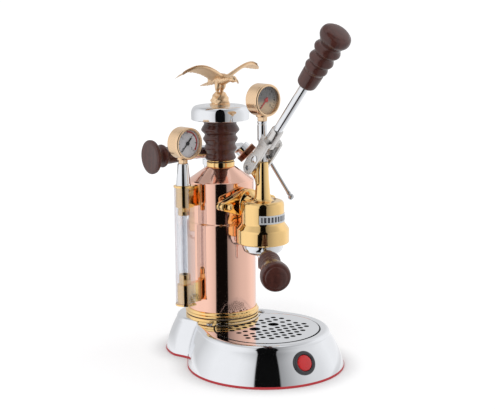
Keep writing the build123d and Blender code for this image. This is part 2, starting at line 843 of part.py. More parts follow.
def heating_element():
    """Flanged element that closes the collar, with two loops up into the boiler."""
    under = collar_z - element_flange_t
    element = disc(collar_r, under, collar_z)
    bend = revolve(Pos(element_span / 2, 0) * Circle(element_r), Axis((0, 0, 0), (0, -1, 0)), half_turn)
    for place in (-element_pitch / 2, element_pitch / 2):
        element += Pos(0, place, collar_z + element_h) * bend
        for side in (-1, 1):
            leg = Pos(side * element_span / 2, place, 0)
            element += leg * disc(element_r, collar_z, collar_z + element_h)
            element += leg * disc(terminal_r, under - terminal_length, under)
    return element


def filler_ring():
    """Brass ring with the filling bore at the top of the cone."""
    low = filler_z - filler_neck_drop
    filler = turned([
        (0, low), (filler_neck_r, low), (filler_neck_r, filler_z), (filler_r - hair, filler_z),
        (filler_r, filler_z + hair), (filler_r, cap_seal_z - hair), (filler_r - hair, cap_seal_z),
        (0, cap_seal_z)])
    return filler - disc(filler_bore_r, low, cap_seal_z)


def cap_seal():
    """Flat seal between the filler ring and the cap."""
    return ring(cap_seal_r, filler_bore_r + running_gap, cap_seal_z, plug_z)


def cap_plug():
    """Brass screw plug with a flange and a stem up through the grip."""
    plug_r = filler_bore_r - running_gap
    low = cap_seal_z - plug_drop
    return turned([
        (0, low), (plug_r - overrun, low), (plug_r, low + overrun), (plug_r, plug_z),
        (grip_foot_r, plug_z), (grip_foot_r, grip_foot_z), (plug_stem_r, grip_foot_z),
        (plug_stem_r, stem_top_z), (0, stem_top_z)])


def cap_grip():
    """Turned wooden bellows grip."""
    grip = turned_curve(scaled(grip_shape, grip_foot_r, grip_h, grip_foot_z))
    return grip - disc(plug_stem_r + running_gap, grip_foot_z, disc_z)


def cap_disc():
    """Chromed disc on top of the cap."""
    cap = turned_curve(scaled(disc_shape, disc_r, disc_h, disc_z))
    cap -= ring(disc_groove_r + disc_groove_w, disc_groove_r, disc_top_z - disc_groove_depth, disc_top_z)
    return cap - disc(plug_stem_r + running_gap, disc_z, stem_top_z)


def eagle_wing(side):
    """One spread wing, lofted through its sections from root to tip."""
    sections = []
    for place, rise, chord, thick, back in wing_shape:
        spot = (side * (wing_root + place * (wing_span - wing_root)), back * wing_chord,
                eagle_z + rise * wing_rise)
        sections.append(Plane(origin=spot, x_dir=(0, 1, 0), z_dir=(side, 0, 0))
                        * Ellipse(chord * wing_chord / 2, thick * wing_t / 2))
    return loft(sections)


def eagle_finial():
    """Eagle with spread wings on a rock, a common ornament of such machines."""
    bird = turned_curve(scaled(rock_shape, rock_r, rock_h, disc_top_z))
    bird += loft([
        Plane(origin=(0, place * body_length, eagle_z + rise * body_r), x_dir=(1, 0, 0), z_dir=(0, 1, 0))
        * Circle(share * body_r) for place, share, rise in body_shape])
    bird += Pos(0, head_y, eagle_z - head_drop) * Sphere(head_r)
    bird += leaning_plane((0, head_y, eagle_z - head_drop), 0, -beak_droop) * turned([
        (0, 0), (beak_r, 0), (beak_r, head_r - hair), (beak_tip_r, head_r + beak_length),
        (0, head_r + beak_length)])
    for side in (-1, 1):
        bird += Pos(side * leg_spread, 0, 0) * disc(leg_r, eagle_z - body_r / 2 - leg_h, eagle_z)
        bird += eagle_wing(side)
    feathers = [
        (-tail_root_w / 2, 0), (-tail_w / 2, tail_length - tail_scallop), (-tail_w / 4, tail_length),
        (0, tail_length - tail_scallop / 2), (tail_w / 4, tail_length),
        (tail_w / 2, tail_length - tail_scallop), (tail_root_w / 2, 0)]
    tail = Pos(0, 0, -tail_t / 2) * extrude(make_face(Polyline(*feathers, close=True)), tail_t)
    return bird + Pos(0, tail_root_y, eagle_z - tail_t) * Rot(tail_lean, 0, 0) * tail


def steam_valve_body():
    """Valve body along its own axis, with the foot into the cone and the nozzle for the ball."""
    foot = Pos(valve_foot_x, valve_y, valve_z)
    valve = valve_plane * turned(valve_outline) + foot * disc(valve_foot_r, -valve_foot_drop, 0)
    valve += foot * prism(valve_foot_nut_r, -valve_foot_nut_drop, valve_foot_nut_h - valve_foot_nut_drop)
    valve += ball_plane * disc(nozzle_r, -nozzle_back, nut_thread_front - seat_gap)
    valve -= ball_plane * Sphere(ball_r + socket_gap)
    valve -= ball_plane * disc(steam_bore_r, -nozzle_back, 0)
    valve -= foot * disc(steam_bore_r, -valve_foot_drop, 0)
    valve -= valve_plane * disc(steam_bore_r, spindle_seat, valve_bore_end)
    return valve - valve_plane * disc(spindle_r + running_gap, spindle_start, spindle_seat)


def steam_spindle():
    """Valve spindle between the knob and the seat."""
    return valve_plane * turned([
        (0, spindle_start), (spindle_r, spindle_start), (spindle_r, spindle_seat - spindle_r),
        (hair, spindle_seat - seat_gap), (0, spindle_seat - seat_gap)])


def steam_knob():
    """Turned wooden knob."""
    knob = turned_curve(placed(knob_shape, knob_length, knob_face))
    return valve_plane * (knob - disc(spindle_r + running_gap, spindle_start, 0))


def steam_joint_nut():
    """Ring nut that keeps the wand's ball in its socket."""
    bore = nozzle_r + running_gap
    nut = turned([
        (bore, -nut_back), (nut_r - nut_edge, -nut_back), (nut_r, nut_edge - nut_back),
        (nut_r, nut_front - nut_edge), (nut_r - nut_edge, nut_front), (nut_flare_r, nut_front),
        (nut_mouth_r, nut_mouth_z), (nut_mouth_r, nut_thread_front), (bore, nut_thread_front)])
    return ball_plane * (nut - Sphere(ball_r + socket_gap))


def wand_path():
    """Centre line of the wand from the ball to the tip."""
    side, ahead = math.cos(math.radians(wand_turn)), math.sin(math.radians(wand_turn))
    plane = Plane(origin=(ball_x, ball_y, ball_z), x_dir=(side, ahead, 0), z_dir=(ahead, -side, 0))
    return plane * FilletPolyline(
        (0, 0), (wand_reach, -wand_sag), (tip_reach, -tip_drop), radius=wand_bend_r)


def steam_wand():
    """Bent steam tube with the ball it swings on and a ball tip with jets."""
    path = wand_path()
    start = Plane(origin=path @ 0, z_dir=path % 0)
    end = Plane(origin=path @ 1, z_dir=path % 1)
    wand = sweep(start * Circle(wand_r), path) + Pos(ball_x, ball_y, ball_z) * Sphere(ball_r)
    wand += end * Sphere(tip_r)
    wand -= sweep(start * Circle(wand_bore_r), path)
    for step in range(jet_count):
        wand -= end * Rot(0, 0, step * 2 * half_turn / jet_count) * Rot(0, tip_jet_lean, 0) * disc(
            tip_jet_r, 0, 2 * tip_r)
    return wand


def sight_plan(radius, reach):
    """Outline of a sight-glass fitting: round outside, straight toward the boiler."""
    return Circle(radius) + Pos(reach / 2, 0) * Rectangle(reach, 2 * radius)


def sight_block(bottom, height, body_r, up):
    """Brass block with an end plate that joins the tube to the boiler, with its passages."""
    middle = bottom + height / 2
    plate_z = bottom + height if up else bottom - sight_plate_t
    block = Pos(0, 0, bottom) * extrude(sight_plan(sight_block_r, sight_block_reach), height)
    block += Pos(0, 0, plate_z) * extrude(sight_plan(sight_plate_r, sight_block_reach), sight_plate_t)
    block -= disc(sight_port_r, *((bottom, middle) if up else (middle, bottom + height)))
    mouth = bottom if up else bottom + height - tube_socket
    block -= disc(tube_r + socket_gap, mouth, mouth + tube_socket)
    block = at_sight(block) - disc(body_r + seat_gap, 0, disc_z)
    return block - cross_pin(sight_port_r, sight_y, middle, sight_x, 0)


def sight_blocks():
    """Upper and lower block of the sight glass."""
    return Compound([sight_block(upper_block_z, upper_block_h, boiler_upper_r, True),
                     sight_block(lower_block_z, lower_block_h, boiler_r, False)])


def sight_nuts():
    """Packing nuts that hold the tube in both blocks."""
    nuts = []
    for face, height in ((upper_block_z, -sight_nut_h), (lower_block_z + lower_block_h, lower_nut_h)):
        split, end = face + height * sight_nut_lip_share, face + height
        nut = prism(sight_nut_r, min(face, split), max(face, split))
        nut += disc(sight_nut_lip_r, min(split, end), max(split, end))
        nuts.append(at_sight(nut - disc(tube_r + socket_gap, min(face, end), max(face, end))))
    return Compound(nuts)


def sight_glass_tube():
    """Glass tube that shows the water level."""
    low = lower_block_z + lower_block_h - tube_seat
    return at_sight(ring(tube_r, tube_bore_r, low, upper_block_z + tube_seat))


def sight_shield():
    """Clear curved shield round the tube."""
    shield = sight_plan(shield_r, shield_reach) - sight_plan(shield_r - shield_t, shield_reach + overrun)
    return at_sight(Pos(0, 0, lower_block_z) * extrude(shield, sight_top_z - lower_block_z))


def gauge_case(post_back):
    """Round case with a lip for the glass, a well for the dial and a hexagon post below."""
    case = turned([
        (0, -gauge_depth), (gauge_r - gauge_edge, -gauge_depth), (gauge_r, gauge_edge - gauge_depth),
        (gauge_r, -gauge_face_edge), (gauge_r - gauge_face_edge, 0), (gauge_lip_r, 0),
        (gauge_lip_r, -gauge_lip_t), (gauge_well_r, -gauge_lip_t), (gauge_well_r, -gauge_well),
        (0, -gauge_well)])
    case -= disc(needle_spindle_r + running_gap, -gauge_well - needle_spindle, 0)
    down = Plane(origin=(0, 0, -post_back), x_dir=(1, 0, 0), z_dir=(0, -1, 0))
    hexagon_end = gauge_r + gauge_hex_h
    case += down * prism(gauge_hex_r, gauge_r - gauge_edge, hexagon_end)
    return case + down * disc(gauge_post_r, hexagon_end, hexagon_end + gauge_post_length)


def gauge_dial():
    """Printed dial on the bottom of the well."""
    return ring(gauge_well_r - gauge_fit, needle_spindle_r + running_gap, -gauge_well, dial_t - gauge_well)


def gauge_crystal():
    """Glass behind the lip."""
    return disc(gauge_well_r - gauge_fit, -gauge_lip_t - crystal_t, -gauge_lip_t)


def gauge_needle():
    """Pointer with its hub and spindle, turned to the rest place."""
    low = dial_t + needle_lift - gauge_well
    needle = disc(needle_hub_r, low, low + needle_hub_t)
    needle += disc(needle_spindle_r, needle_lift - gauge_well - needle_spindle, low)
    pointer = make_face(Polyline(
        (-needle_w, -needle_tail), (needle_w, -needle_tail), (needle_w / 2, 0),
        (needle_w / 4, needle_length), (-needle_w / 4, needle_length), (-needle_w / 2, 0), close=True))
    needle += Pos(0, 0, low) * extrude(pointer, needle_t)
    return Rot(0, 0, needle_rest - half_turn / 2) * needle


def boiler_gauge_stem():
    """Tapered stem on the sight glass that carries the boiler gauge."""
    stem = turned([(0, cone_stem_z), (cone_stem_r, cone_stem_z), (cone_stem_top_r, cone_stem_top_z),
                   (0, cone_stem_top_z)])
    return at_sight(stem - disc(gauge_post_r + running_gap, cone_stem_top_z - stem_socket, cone_stem_top_z))


def flange_slice(back, front):
    """Plate of the flange's oval outline between two places in Y."""
    ends = [Pos(side * flange_end_x, 0) * Circle(flange_end_r) for side in (-1, 1)]
    outline = make_hull((Sketch() + [Circle(flange_half_r), *ends]).edges())
    plate = Plane(origin=(0, back, flange_z), x_dir=(1, 0, 0), z_dir=(0, -1, 0)) * extrude(
        outline, back - front)
    for side in (-1, 1):
        plate -= along_front(stud_r + running_gap, side * stud_x, back, front)
    return plate


def boiler_plate():
    """Flange on the boiler with a boss saddled to the shell."""
    plate = flange_slice(flange_back_y, plate_front_y)
    plate += along_front(saddle_r, 0, 0, flange_back_y - hair)
    plate -= disc(boiler_upper_r + seat_gap, 0, disc_z)
    return plate - along_front(water_bore_r, 0, 0, plate_front_y)


def flange_gasket():
    """Gasket between the two flange plates."""
    return flange_slice(plate_front_y, gasket_front_y) - along_front(
        water_bore_r, 0, plate_front_y, gasket_front_y)


def flange_studs():
    """Studs with domed nuts that clamp the two plates."""
    nut = prism(acorn_r, 0, acorn_h) + Pos(0, 0, acorn_h) * turned_curve(acorn_shape, acorn_crown)
    studs = []
    for side in (-1, 1):
        face = Plane(origin=(side * stud_x, group_plate_y, flange_z), z_dir=(0, -1, 0))
        studs.append(along_front(stud_r, side * stud_x, flange_back_y, group_plate_y - hair) + face * nut)
    return Compound(studs)


def group_body():
    """Bell, neck, fulcrum lug and flange plate in one casting."""
    outline = [(radius, bell_z + height) for radius, height in bell_outline]
    body = at_group(turned([(0, bell_z), *outline, (0, neck_top_z)]))
    body += flange_slice(gasket_front_y, group_plate_y)
    body += Plane(origin=(0, group_plate_y + hair, flange_z), z_dir=(0, -1, 0)) * turned([
        (0, 0), (knee_r, 0), (knee_end_r, knee_length), (0, knee_length)])
    body += yz_plate(web_outline, -web_half, 2 * web_half)
    body += cross_pin(boss_r, fulcrum_y, fulcrum_z, -boss_half, boss_half)
    body -= at_group(disc(bore_r, bell_z, bore_top_z))
    body -= at_group(disc(bayonet_r, bell_ledge_z, bayonet_top_z))
    body -= at_group(disc(bayonet_mouth_r, bell_z, bell_ledge_z))
    for side in (-1, 1):
        body -= at_group(sector(bayonet_r, bore_r, handle_angle + side * half_turn / 2,
                                bayonet_slot_angle, bell_z, bell_ledge_z))
    body -= at_group(disc(rod_r + running_gap, bore_top_z, neck_top_z))
    body -= Pos(0, group_y, slot_z + bell_z / 2) * Box(2 * bore_r, neck_slot_w, bell_z)
    body -= cross_pin(neck_slot_w / 2, group_y, slot_z, -bore_r, bore_r)
    body -= along_front(water_bore_r, 0, gasket_front_y, group_y)
    return body - cross_pin(pin_r + running_gap, fulcrum_y, fulcrum_z, -boss_half, boss_half)


def cylinder_sleeve():
    """Liner that the piston slides in, with a port for the water."""
    sleeve = ring(bore_r - running_gap, bore_r - sleeve_wall, bayonet_top_z, bore_top_z - sleeve_clear)
    return at_group(sleeve) - along_front(water_bore_r, 0, gasket_front_y, group_y)


def group_seal():
    """Rubber ring that the basket rim presses on."""
    return at_group(ring(bayonet_r - seal_fit, seal_inner_r, bayonet_top_z - seal_h, bayonet_top_z))


def shower_screen():
    """Perforated disc under the cylinder."""
    plan = Circle(screen_r) - round_holes(screen_hole_r, screen_rings, screen_r)
    return at_group(Pos(0, 0, bayonet_top_z - screen_t) * extrude(plan, screen_t))


def temperature_strip():
    """Thin strip of temperature fields round the front of the bell."""
    low = bell_z + scale_h
    return at_group(sector(bell_upper_r + scale_t, bell_upper_r, -half_turn / 2, scale_span,
                           low, low + scale_height))


def fulcrum_pin():
    """Pin that the lever swings on."""
    pin = cross_pin(pin_r, fulcrum_y, fulcrum_z, -pin_half, pin_half)
    return chamfer(pin.edges().filter_by(GeomType.CIRCLE), pin_edge)


def piston():
    """Piston with two seal grooves and a socket for the rod."""
    body = disc(piston_r, piston_z, piston_z + piston_h)
    for share in groove_shares:
        low = piston_z + share * piston_h
        body -= ring(piston_r + overrun, piston_r - groove_depth, low, low + groove_h)
    return at_group(body - disc(rod_r + running_gap, piston_z + piston_floor, piston_z + piston_h))


def piston_seals():
    """Two lip seals of the piston."""
    outer = bore_r - sleeve_wall - running_gap
    lows = [piston_z + share * piston_h for share in groove_shares]
    return Compound([
        at_group(ring(outer, piston_r - groove_depth, low, low + groove_h)) for low in lows])


def piston_rod():
    """Rod from the piston up through the neck."""
    rod = at_group(disc(rod_r, piston_z + piston_floor, rod_top_z))
    return rod - cross_pin(pin_r + running_gap, group_y, rod_pin_z, -rod_r, rod_r)


def rod_pin():
    """Cross pin that the fork pushes and lifts."""
    pin = cross_pin(pin_r, group_y, rod_pin_z, -pin_half, pin_half)
    return chamfer(pin.edges().filter_by(GeomType.CIRCLE), pin_edge)


def piston_gauge_stem():
    """Chromed stem on the rod that carries the upper gauge."""
    stem = disc(gauge_stem_r, rod_top_z, gauge_stem_z)
    return at_group(stem - disc(gauge_post_r + running_gap, gauge_stem_z - stem_socket, gauge_stem_z))


def lever_fork():
    """Forked foot of the lever: two slotted ears, a bridge and the rod socket."""
    fork = yz_plate(ear_outline, fork_in, ear_t) + yz_plate(ear_outline, -fork_in - ear_t, ear_t)
    width = 2 * (fork_in + ear_t)
    fork += lever_plane * Pos(0, 0, bridge_t / 2 - bridge_back) * Box(width, bridge_depth, bridge_t)
    fork += lever_plane * turned([
        (0, -socket_back), (socket_r - overrun, -socket_back), (socket_r, overrun - socket_back),
        (socket_top_r, socket_front - hair), (socket_top_r - hair, socket_front), (0, socket_front)])
    fork -= lever_plane * disc(lever_rod_r + running_gap, -rod_socket, socket_front)
    fork -= at_group(disc(gauge_stem_r + stem_relief, rod_pin_z, piston_gauge_z))
    fork -= cross_pin(pin_r + running_gap, fulcrum_y, fulcrum_z, -width, width)
    lift = math.radians(ear_slot_lift)
    place = Plane(
        origin=(-width, fulcrum_y - ear_slot_middle * math.cos(lift),
                fulcrum_z + ear_slot_middle * math.sin(lift)),
        x_dir=(0, -math.cos(lift), math.sin(lift)), z_dir=(1, 0, 0))
    return fork - place * extrude(SlotCenterToCenter(ear_slot_length, 2 * ear_slot_r), 2 * width)


def lever_rod():
    """Chromed rod of the lever."""
    return lever_plane * disc(lever_rod_r, -rod_socket, handle_start + handle_bore - overrun)


def lever_handle():
    """Turned wooden handle of the lever."""
    handle = turned_curve(placed(handle_shape, handle_length, handle_start), handle_crown)
    bore = disc(lever_rod_r + running_gap, handle_start, handle_start + handle_bore)
    return lever_plane * (handle - bore)


def portafilter_body():
    """Cup with two bayonet lugs, a ferrule and a tang for the handle."""
    outline = [(radius, cup_z + height) for radius, height in cup_outline]
    cup = turned([(0, cup_z), *outline, (0, cup_rim_z)])
    for side in (-1, 1):
        cup += sector(lug_outer_r, cup_bore_r, handle_angle + side * half_turn / 2, lug_span,
                      lug_z, lug_z + lug_t)
    cup = at_group(cup) + grip_plane * turned([
        (0, ferrule_start), (ferrule_r, ferrule_start), (ferrule_r, ferrule_waist),
        (ferrule_end_r, grip_start - overrun), (ferrule_end_r, grip_start), (tang_r, grip_start),
        (tang_r, grip_start + tang_length), (0, grip_start + tang_length)])
    cup -= at_group(disc(cup_bore_r, cup_z + cup_floor, cup_rim_z))
    return cup - at_group(disc(spout_bore_r, cup_z, cup_rim_z))


def portafilter_spout():
    """Single spout under the cup."""
    low = cup_z - spout_length
    spout = prism(spout_hex_r, cup_z - spout_hex_h, cup_z)
    spout += turned([
        (0, low), (spout_r - overrun, low), (spout_r, low + overrun), (spout_r, cup_z), (0, cup_z)])
    return at_group(spout - disc(spout_bore_r, low, cup_z))


def portafilter_handle():
    """Turned wooden handle of the portafilter."""
    grip = turned_curve(placed(grip_wood_shape, grip_length, grip_start), grip_crown)
    return grip_plane * (grip - disc(tang_r + running_gap, grip_start, grip_start + tang_length + overrun))


def filter_basket():
    """Steel basket that hangs in the cup by its rim."""
    rim_top_z = cup_rim_z + basket_rim_t
    floor_z = rim_top_z - basket_depth
    basket = disc(basket_rim_r, cup_rim_z, rim_top_z) + disc(basket_r, floor_z, cup_rim_z)
    basket -= disc(basket_r - basket_t, floor_z + basket_t, rim_top_z)
    holes = Sketch() + round_holes(basket_hole_r, basket_rings, basket_r)
    return at_group(basket - Pos(0, 0, floor_z) * extrude(holes, basket_t))


nodes = {
    "base_shell": base_shell(),
    "base_trim_strip": trim_strip(),
    "base_bottom_plate": bottom_plate(),
    "deck_screws": deck_screws(),
    "cord_gland": cord_gland(),
    "switch_housing": switch_housing(),
    "switch_button": switch_button(),
    "drip_tray": drip_tray(),
    "drip_grille": drip_grille(),
    "boiler_lower_flange": boiler_lower_flange(),
    "boiler_gasket": boiler_gasket(),
    "boiler_base_ring": boiler_base_ring(),
    "boiler_ring_nut": boiler_ring_nut(),
    "boiler_shell": boiler_shell(),
    "heating_element": heating_element(),
    "filler_ring": filler_ring(),
    "cap_seal": cap_seal(),
    "cap_plug": cap_plug(),
    "cap_grip": cap_grip(),
    "cap_disc": cap_disc(),
    "eagle_finial": eagle_finial(),
    "steam_valve_body": steam_valve_body(),
    "steam_spindle": steam_spindle(),
    "steam_knob": steam_knob(),
    "steam_joint_nut": steam_joint_nut(),
    "steam_wand": steam_wand(),
    "sight_blocks": sight_blocks(),
    "sight_nuts": sight_nuts(),
    "sight_glass_tube": sight_glass_tube(),
    "sight_shield": sight_shield(),
    "boiler_gauge_stem": boiler_gauge_stem(),
    "boiler_gauge_case": boiler_gauge_frame * gauge_case(sight_y - boiler_gauge_face),
    "boiler_gauge_dial": boiler_gauge_frame * gauge_dial(),
    "boiler_gauge_glass": boiler_gauge_frame * gauge_crystal(),
    "boiler_gauge_needle": boiler_gauge_frame * gauge_needle(),
    "boiler_plate": boiler_plate(),
    "flange_gasket": flange_gasket(),
    "flange_studs": flange_studs(),
    "group_body": group_body(),
    "cylinder_sleeve": cylinder_sleeve(),
    "group_seal": group_seal(),
    "shower_screen": shower_screen(),
    "temperature_strip": temperature_strip(),
    "fulcrum_pin": fulcrum_pin(),
    "piston": piston(),
    "piston_seals": piston_seals(),
    "piston_rod": piston_rod(),
    "rod_pin": rod_pin(),
    "piston_gauge_stem": piston_gauge_stem(),
    "piston_gauge_case": piston_gauge_frame * gauge_case(group_y - piston_gauge_face),
    "piston_gauge_dial": piston_gauge_frame * gauge_dial(),
    "piston_gauge_glass": piston_gauge_frame * gauge_crystal(),
    "piston_gauge_needle": piston_gauge_frame * gauge_needle(),
    "lever_fork": lever_fork(),
    "lever_rod": lever_rod(),
    "lever_handle": lever_handle(),
    "portafilter_body": portafilter_body(),
    "portafilter_spout": portafilter_spout(),
    "portafilter_handle": portafilter_handle(),
    "filter_basket": filter_basket(),
}

os.makedirs("parts", exist_ok=True)
for name, shape in nodes.items():
    export_step(shape, f"parts/{name}.step")
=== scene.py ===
import json
import math
import random

import bmesh
import bpy
from mathutils import Matrix, Vector

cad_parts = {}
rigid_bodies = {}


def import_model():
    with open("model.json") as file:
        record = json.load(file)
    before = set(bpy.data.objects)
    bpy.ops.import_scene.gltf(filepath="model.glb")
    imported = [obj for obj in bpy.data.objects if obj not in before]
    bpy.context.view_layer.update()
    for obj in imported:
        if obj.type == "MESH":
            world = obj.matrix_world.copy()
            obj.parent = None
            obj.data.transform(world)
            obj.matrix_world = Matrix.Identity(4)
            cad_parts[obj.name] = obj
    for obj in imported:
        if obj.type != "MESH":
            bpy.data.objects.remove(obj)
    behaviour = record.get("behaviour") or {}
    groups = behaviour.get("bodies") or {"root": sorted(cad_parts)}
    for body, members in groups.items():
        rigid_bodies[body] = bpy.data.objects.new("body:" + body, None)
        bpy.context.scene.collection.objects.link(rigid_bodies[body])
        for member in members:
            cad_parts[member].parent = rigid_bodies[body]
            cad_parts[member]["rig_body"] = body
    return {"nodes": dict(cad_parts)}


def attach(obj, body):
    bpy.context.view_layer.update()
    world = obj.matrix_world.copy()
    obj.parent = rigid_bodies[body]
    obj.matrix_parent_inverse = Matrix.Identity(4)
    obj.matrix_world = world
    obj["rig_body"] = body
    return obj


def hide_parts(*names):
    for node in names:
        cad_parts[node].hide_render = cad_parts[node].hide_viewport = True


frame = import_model()

bl_info = {
    "name": "Lever espresso machine",
    "version": (1, 0, 0),
    "blender": (4, 5, 0),
    "location": "View3D > Sidebar > Espresso",
    "description": "Dresses the packed lever espresso machine with finished meshes and materials",
    "category": "Add Mesh",
}

# Shapes are drawn in millimetres and a finished mesh is scaled to metres. The stage is in metres.
MM = 0.001
FULL = 2 * math.pi

# Heights of the base: top of the strip, of the wall's side and of the deck
STRIP_Z = 3.0
BROW_Z = 42.5
DECK_Z = 48.4

# Where the pieces of the boiler's stack start: gasket, foot ring, shell, filler, seal, grip and disc
GASKET_Z = 52.2
RING_Z = 53.4
SHELL_Z = 57.0
FILLER_Z = 247.5
SEAL_Z = 254.0
GRIP_Z = 256.2
DISC_Z = 308.6

# Tops of seal, grip, disc and rock, and the height of the eagle's middle
SEAL_TOP_Z = 255.2
GRIP_TOP_Z = 310.0
DISC_TOP_Z = 327.0
ROCK_TOP_Z = 344.0
EAGLE_Z = 360.5

# Radius of the boiler below and above its shoulder, and the gap to a piece that is cut to it
BOILER_R = 45.0
SHOULDER_R = 43.2
BOILER_GAP = 0.3

# Heights of the group: bottom of the cup, of the bell and of the strip of fields, middle of the flange
CUP_Z = 146.0
BELL_Z = 159.5
FIELDS_Z = BELL_Z + 27.8
FLANGE_Z = 206.0

# Top of the piston's rod, on which the stem of its gauge sits
ROD_TOP_Z = 289.0

# Sight glass: bottom and top of its shield, and thickness of the covers over its ends
SHIELD_Z = 75.9
SHIELD_TOP_Z = 228.3
SHIELD_COVER = 2.0

# Faces of the flange from back to front: boiler plate, gasket, group's plate and its front
PLATE_Y = -45.6
PLATE_FRONT_Y = -50.5
FLANGE_Y = -51.9
FLANGE_FRONT_Y = -57.9

# Axes that pieces share: group, sight glass, steam valve, wand's ball, the lever's pins and the studs
GROUP_Y = -83.5
SIGHT = (-66.0, -6.0)
VALVE_ORIGIN = (0, 32.0, 263.5)
JOINT = (63.5, 23.2, 256.5)
FULCRUM = (-68.3, 254.2)
ROD_PIN = (GROUP_Y, 267.4)
STUD_X = 35.0

# Radius of the holes for the lever's pins
PIN_BORE = 2.95


def placed_at(origin, x_axis, z_axis):
    """Place with its origin, a side direction and the direction of its own Z."""
    up = Vector(z_axis).normalized()
    side = Vector(x_axis)
    side = (side - up * side.dot(up)).normalized()
    place = Matrix((side, up.cross(side), up)).transposed().to_4x4()
    place.translation = Vector(origin)
    return place


def leaning(origin, turn, lean):
    """Place whose Z points to a side turned from the front, and leans up from level."""
    side, ahead = math.sin(math.radians(turn)), -math.cos(math.radians(turn))
    flat = math.cos(math.radians(lean))
    return placed_at(
        origin, (-ahead, side, 0), (side * flat, ahead * flat, math.sin(math.radians(lean))))


def shifted(x, y, z=0.0):
    """Upright place moved to a point."""
    return Matrix.Translation((x, y, z))


def crosswise(y, z):
    """Place in the middle plane whose Z points across the machine."""
    return placed_at((0, y, z), (0, 1, 0), (1, 0, 0))


def facing_front(x, y, z):
    """Place whose Z points to the front."""
    return placed_at((x, y, z), (1, 0, 0), (0, -1, 0))


# Places of pieces, each with its Z along the piece
GROUP = shifted(0, GROUP_Y)
SIGHT_AXIS = shifted(*SIGHT)
VALVE = leaning(VALVE_ORIGIN, 86.0, 0)
LEVER = leaning((0, -112.4, 304.6), 0, 49.4)
PORTAFILTER = leaning((0, GROUP_Y, 153.0), -34.5, -2.2)
BALL = placed_at(JOINT, (1, 1, 0), (0.502, -0.502, -0.704))
BOILER_GAUGE = facing_front(SIGHT[0], -21.4, 284.7)
PISTON_GAUGE = facing_front(0, -96.0, 340.0)
SWITCH = placed_at((-16.011, -178.284, 26.4), (0.98450, -0.17537, 0), (-0.15774, -0.88556, 0.43693))
ACROSS = crosswise(0, 0)
FORWARD = facing_front(0, 0, FLANGE_Z)


# Outlines

def eased(outline, radius=0.4, closed=True):
    """Outline with each corner cut round, within the length of its sides."""
    count, result = len(outline), []
    for index, corner in enumerate(outline):
        here = Vector(corner)
        if not closed and index in (0, count - 1) or abs(corner[0]) < 1e-6:
            result.append(tuple(here))
            continue
        back = Vector(outline[index - 1]) - here
        on = Vector(outline[(index + 1) % count]) - here
        cut = min(radius, 0.45 * back.length, 0.45 * on.length)
        first, last = here + back.normalized() * cut, here + on.normalized() * cut
        for step in (0.0, 0.25, 0.5, 0.75, 1.0):
            near = first.lerp(here, step)
            result.append(tuple(near.lerp(here.lerp(last, step), step)))
    return result


def smooth(points, steps=7):
    """Points joined by a smooth line through all of them."""
    ends = [tuple(2 * a - b for a, b in zip(points[0], points[1])), *points,
            tuple(2 * a - b for a, b in zip(points[-1], points[-2]))]
    result = []
    for index in range(1, len(ends) - 2):
        for step in range(steps):
            t = step / steps
            result.append(tuple(0.5 * (
                2 * q + (r - p) * t + (2 * p - 5 * q + 4 * r - s) * t * t
                + (3 * q - p - 3 * r + s) * t * t * t) for p, q, r, s in zip(*ends[index - 1:index + 3])))
    return [*result, tuple(points[-1])]


def stretched(shape, radius, length, start=0.0):
    """Outline from shares of a radius and of a length."""
    return [(share * radius, start + place * length) for share, place in shape]


def domed(outline, crown, steps=8):
    """Outline continued by a shallow dome to the axis."""
    radius, height = outline[-1]
    return outline + [
        (radius * math.cos(step * math.pi / 2 / steps), height + crown * math.sin(step * math.pi / 2 / steps))
        for step in range(1, steps)] + [(0.0, height + crown)]


def arc(radius, start, end, steps, centre=(0.0, 0.0)):
    """Points on an arc, with angles in degrees."""
    turns = [math.radians(start + (end - start) * step / steps) for step in range(steps + 1)]
    return [(centre[0] + radius * math.cos(turn), centre[1] + radius * math.sin(turn)) for turn in turns]


def ring_outline(outer, inner, low, high):
    """Section of a plain ring."""
    return [(inner, low), (outer, low), (outer, high), (inner, high)]


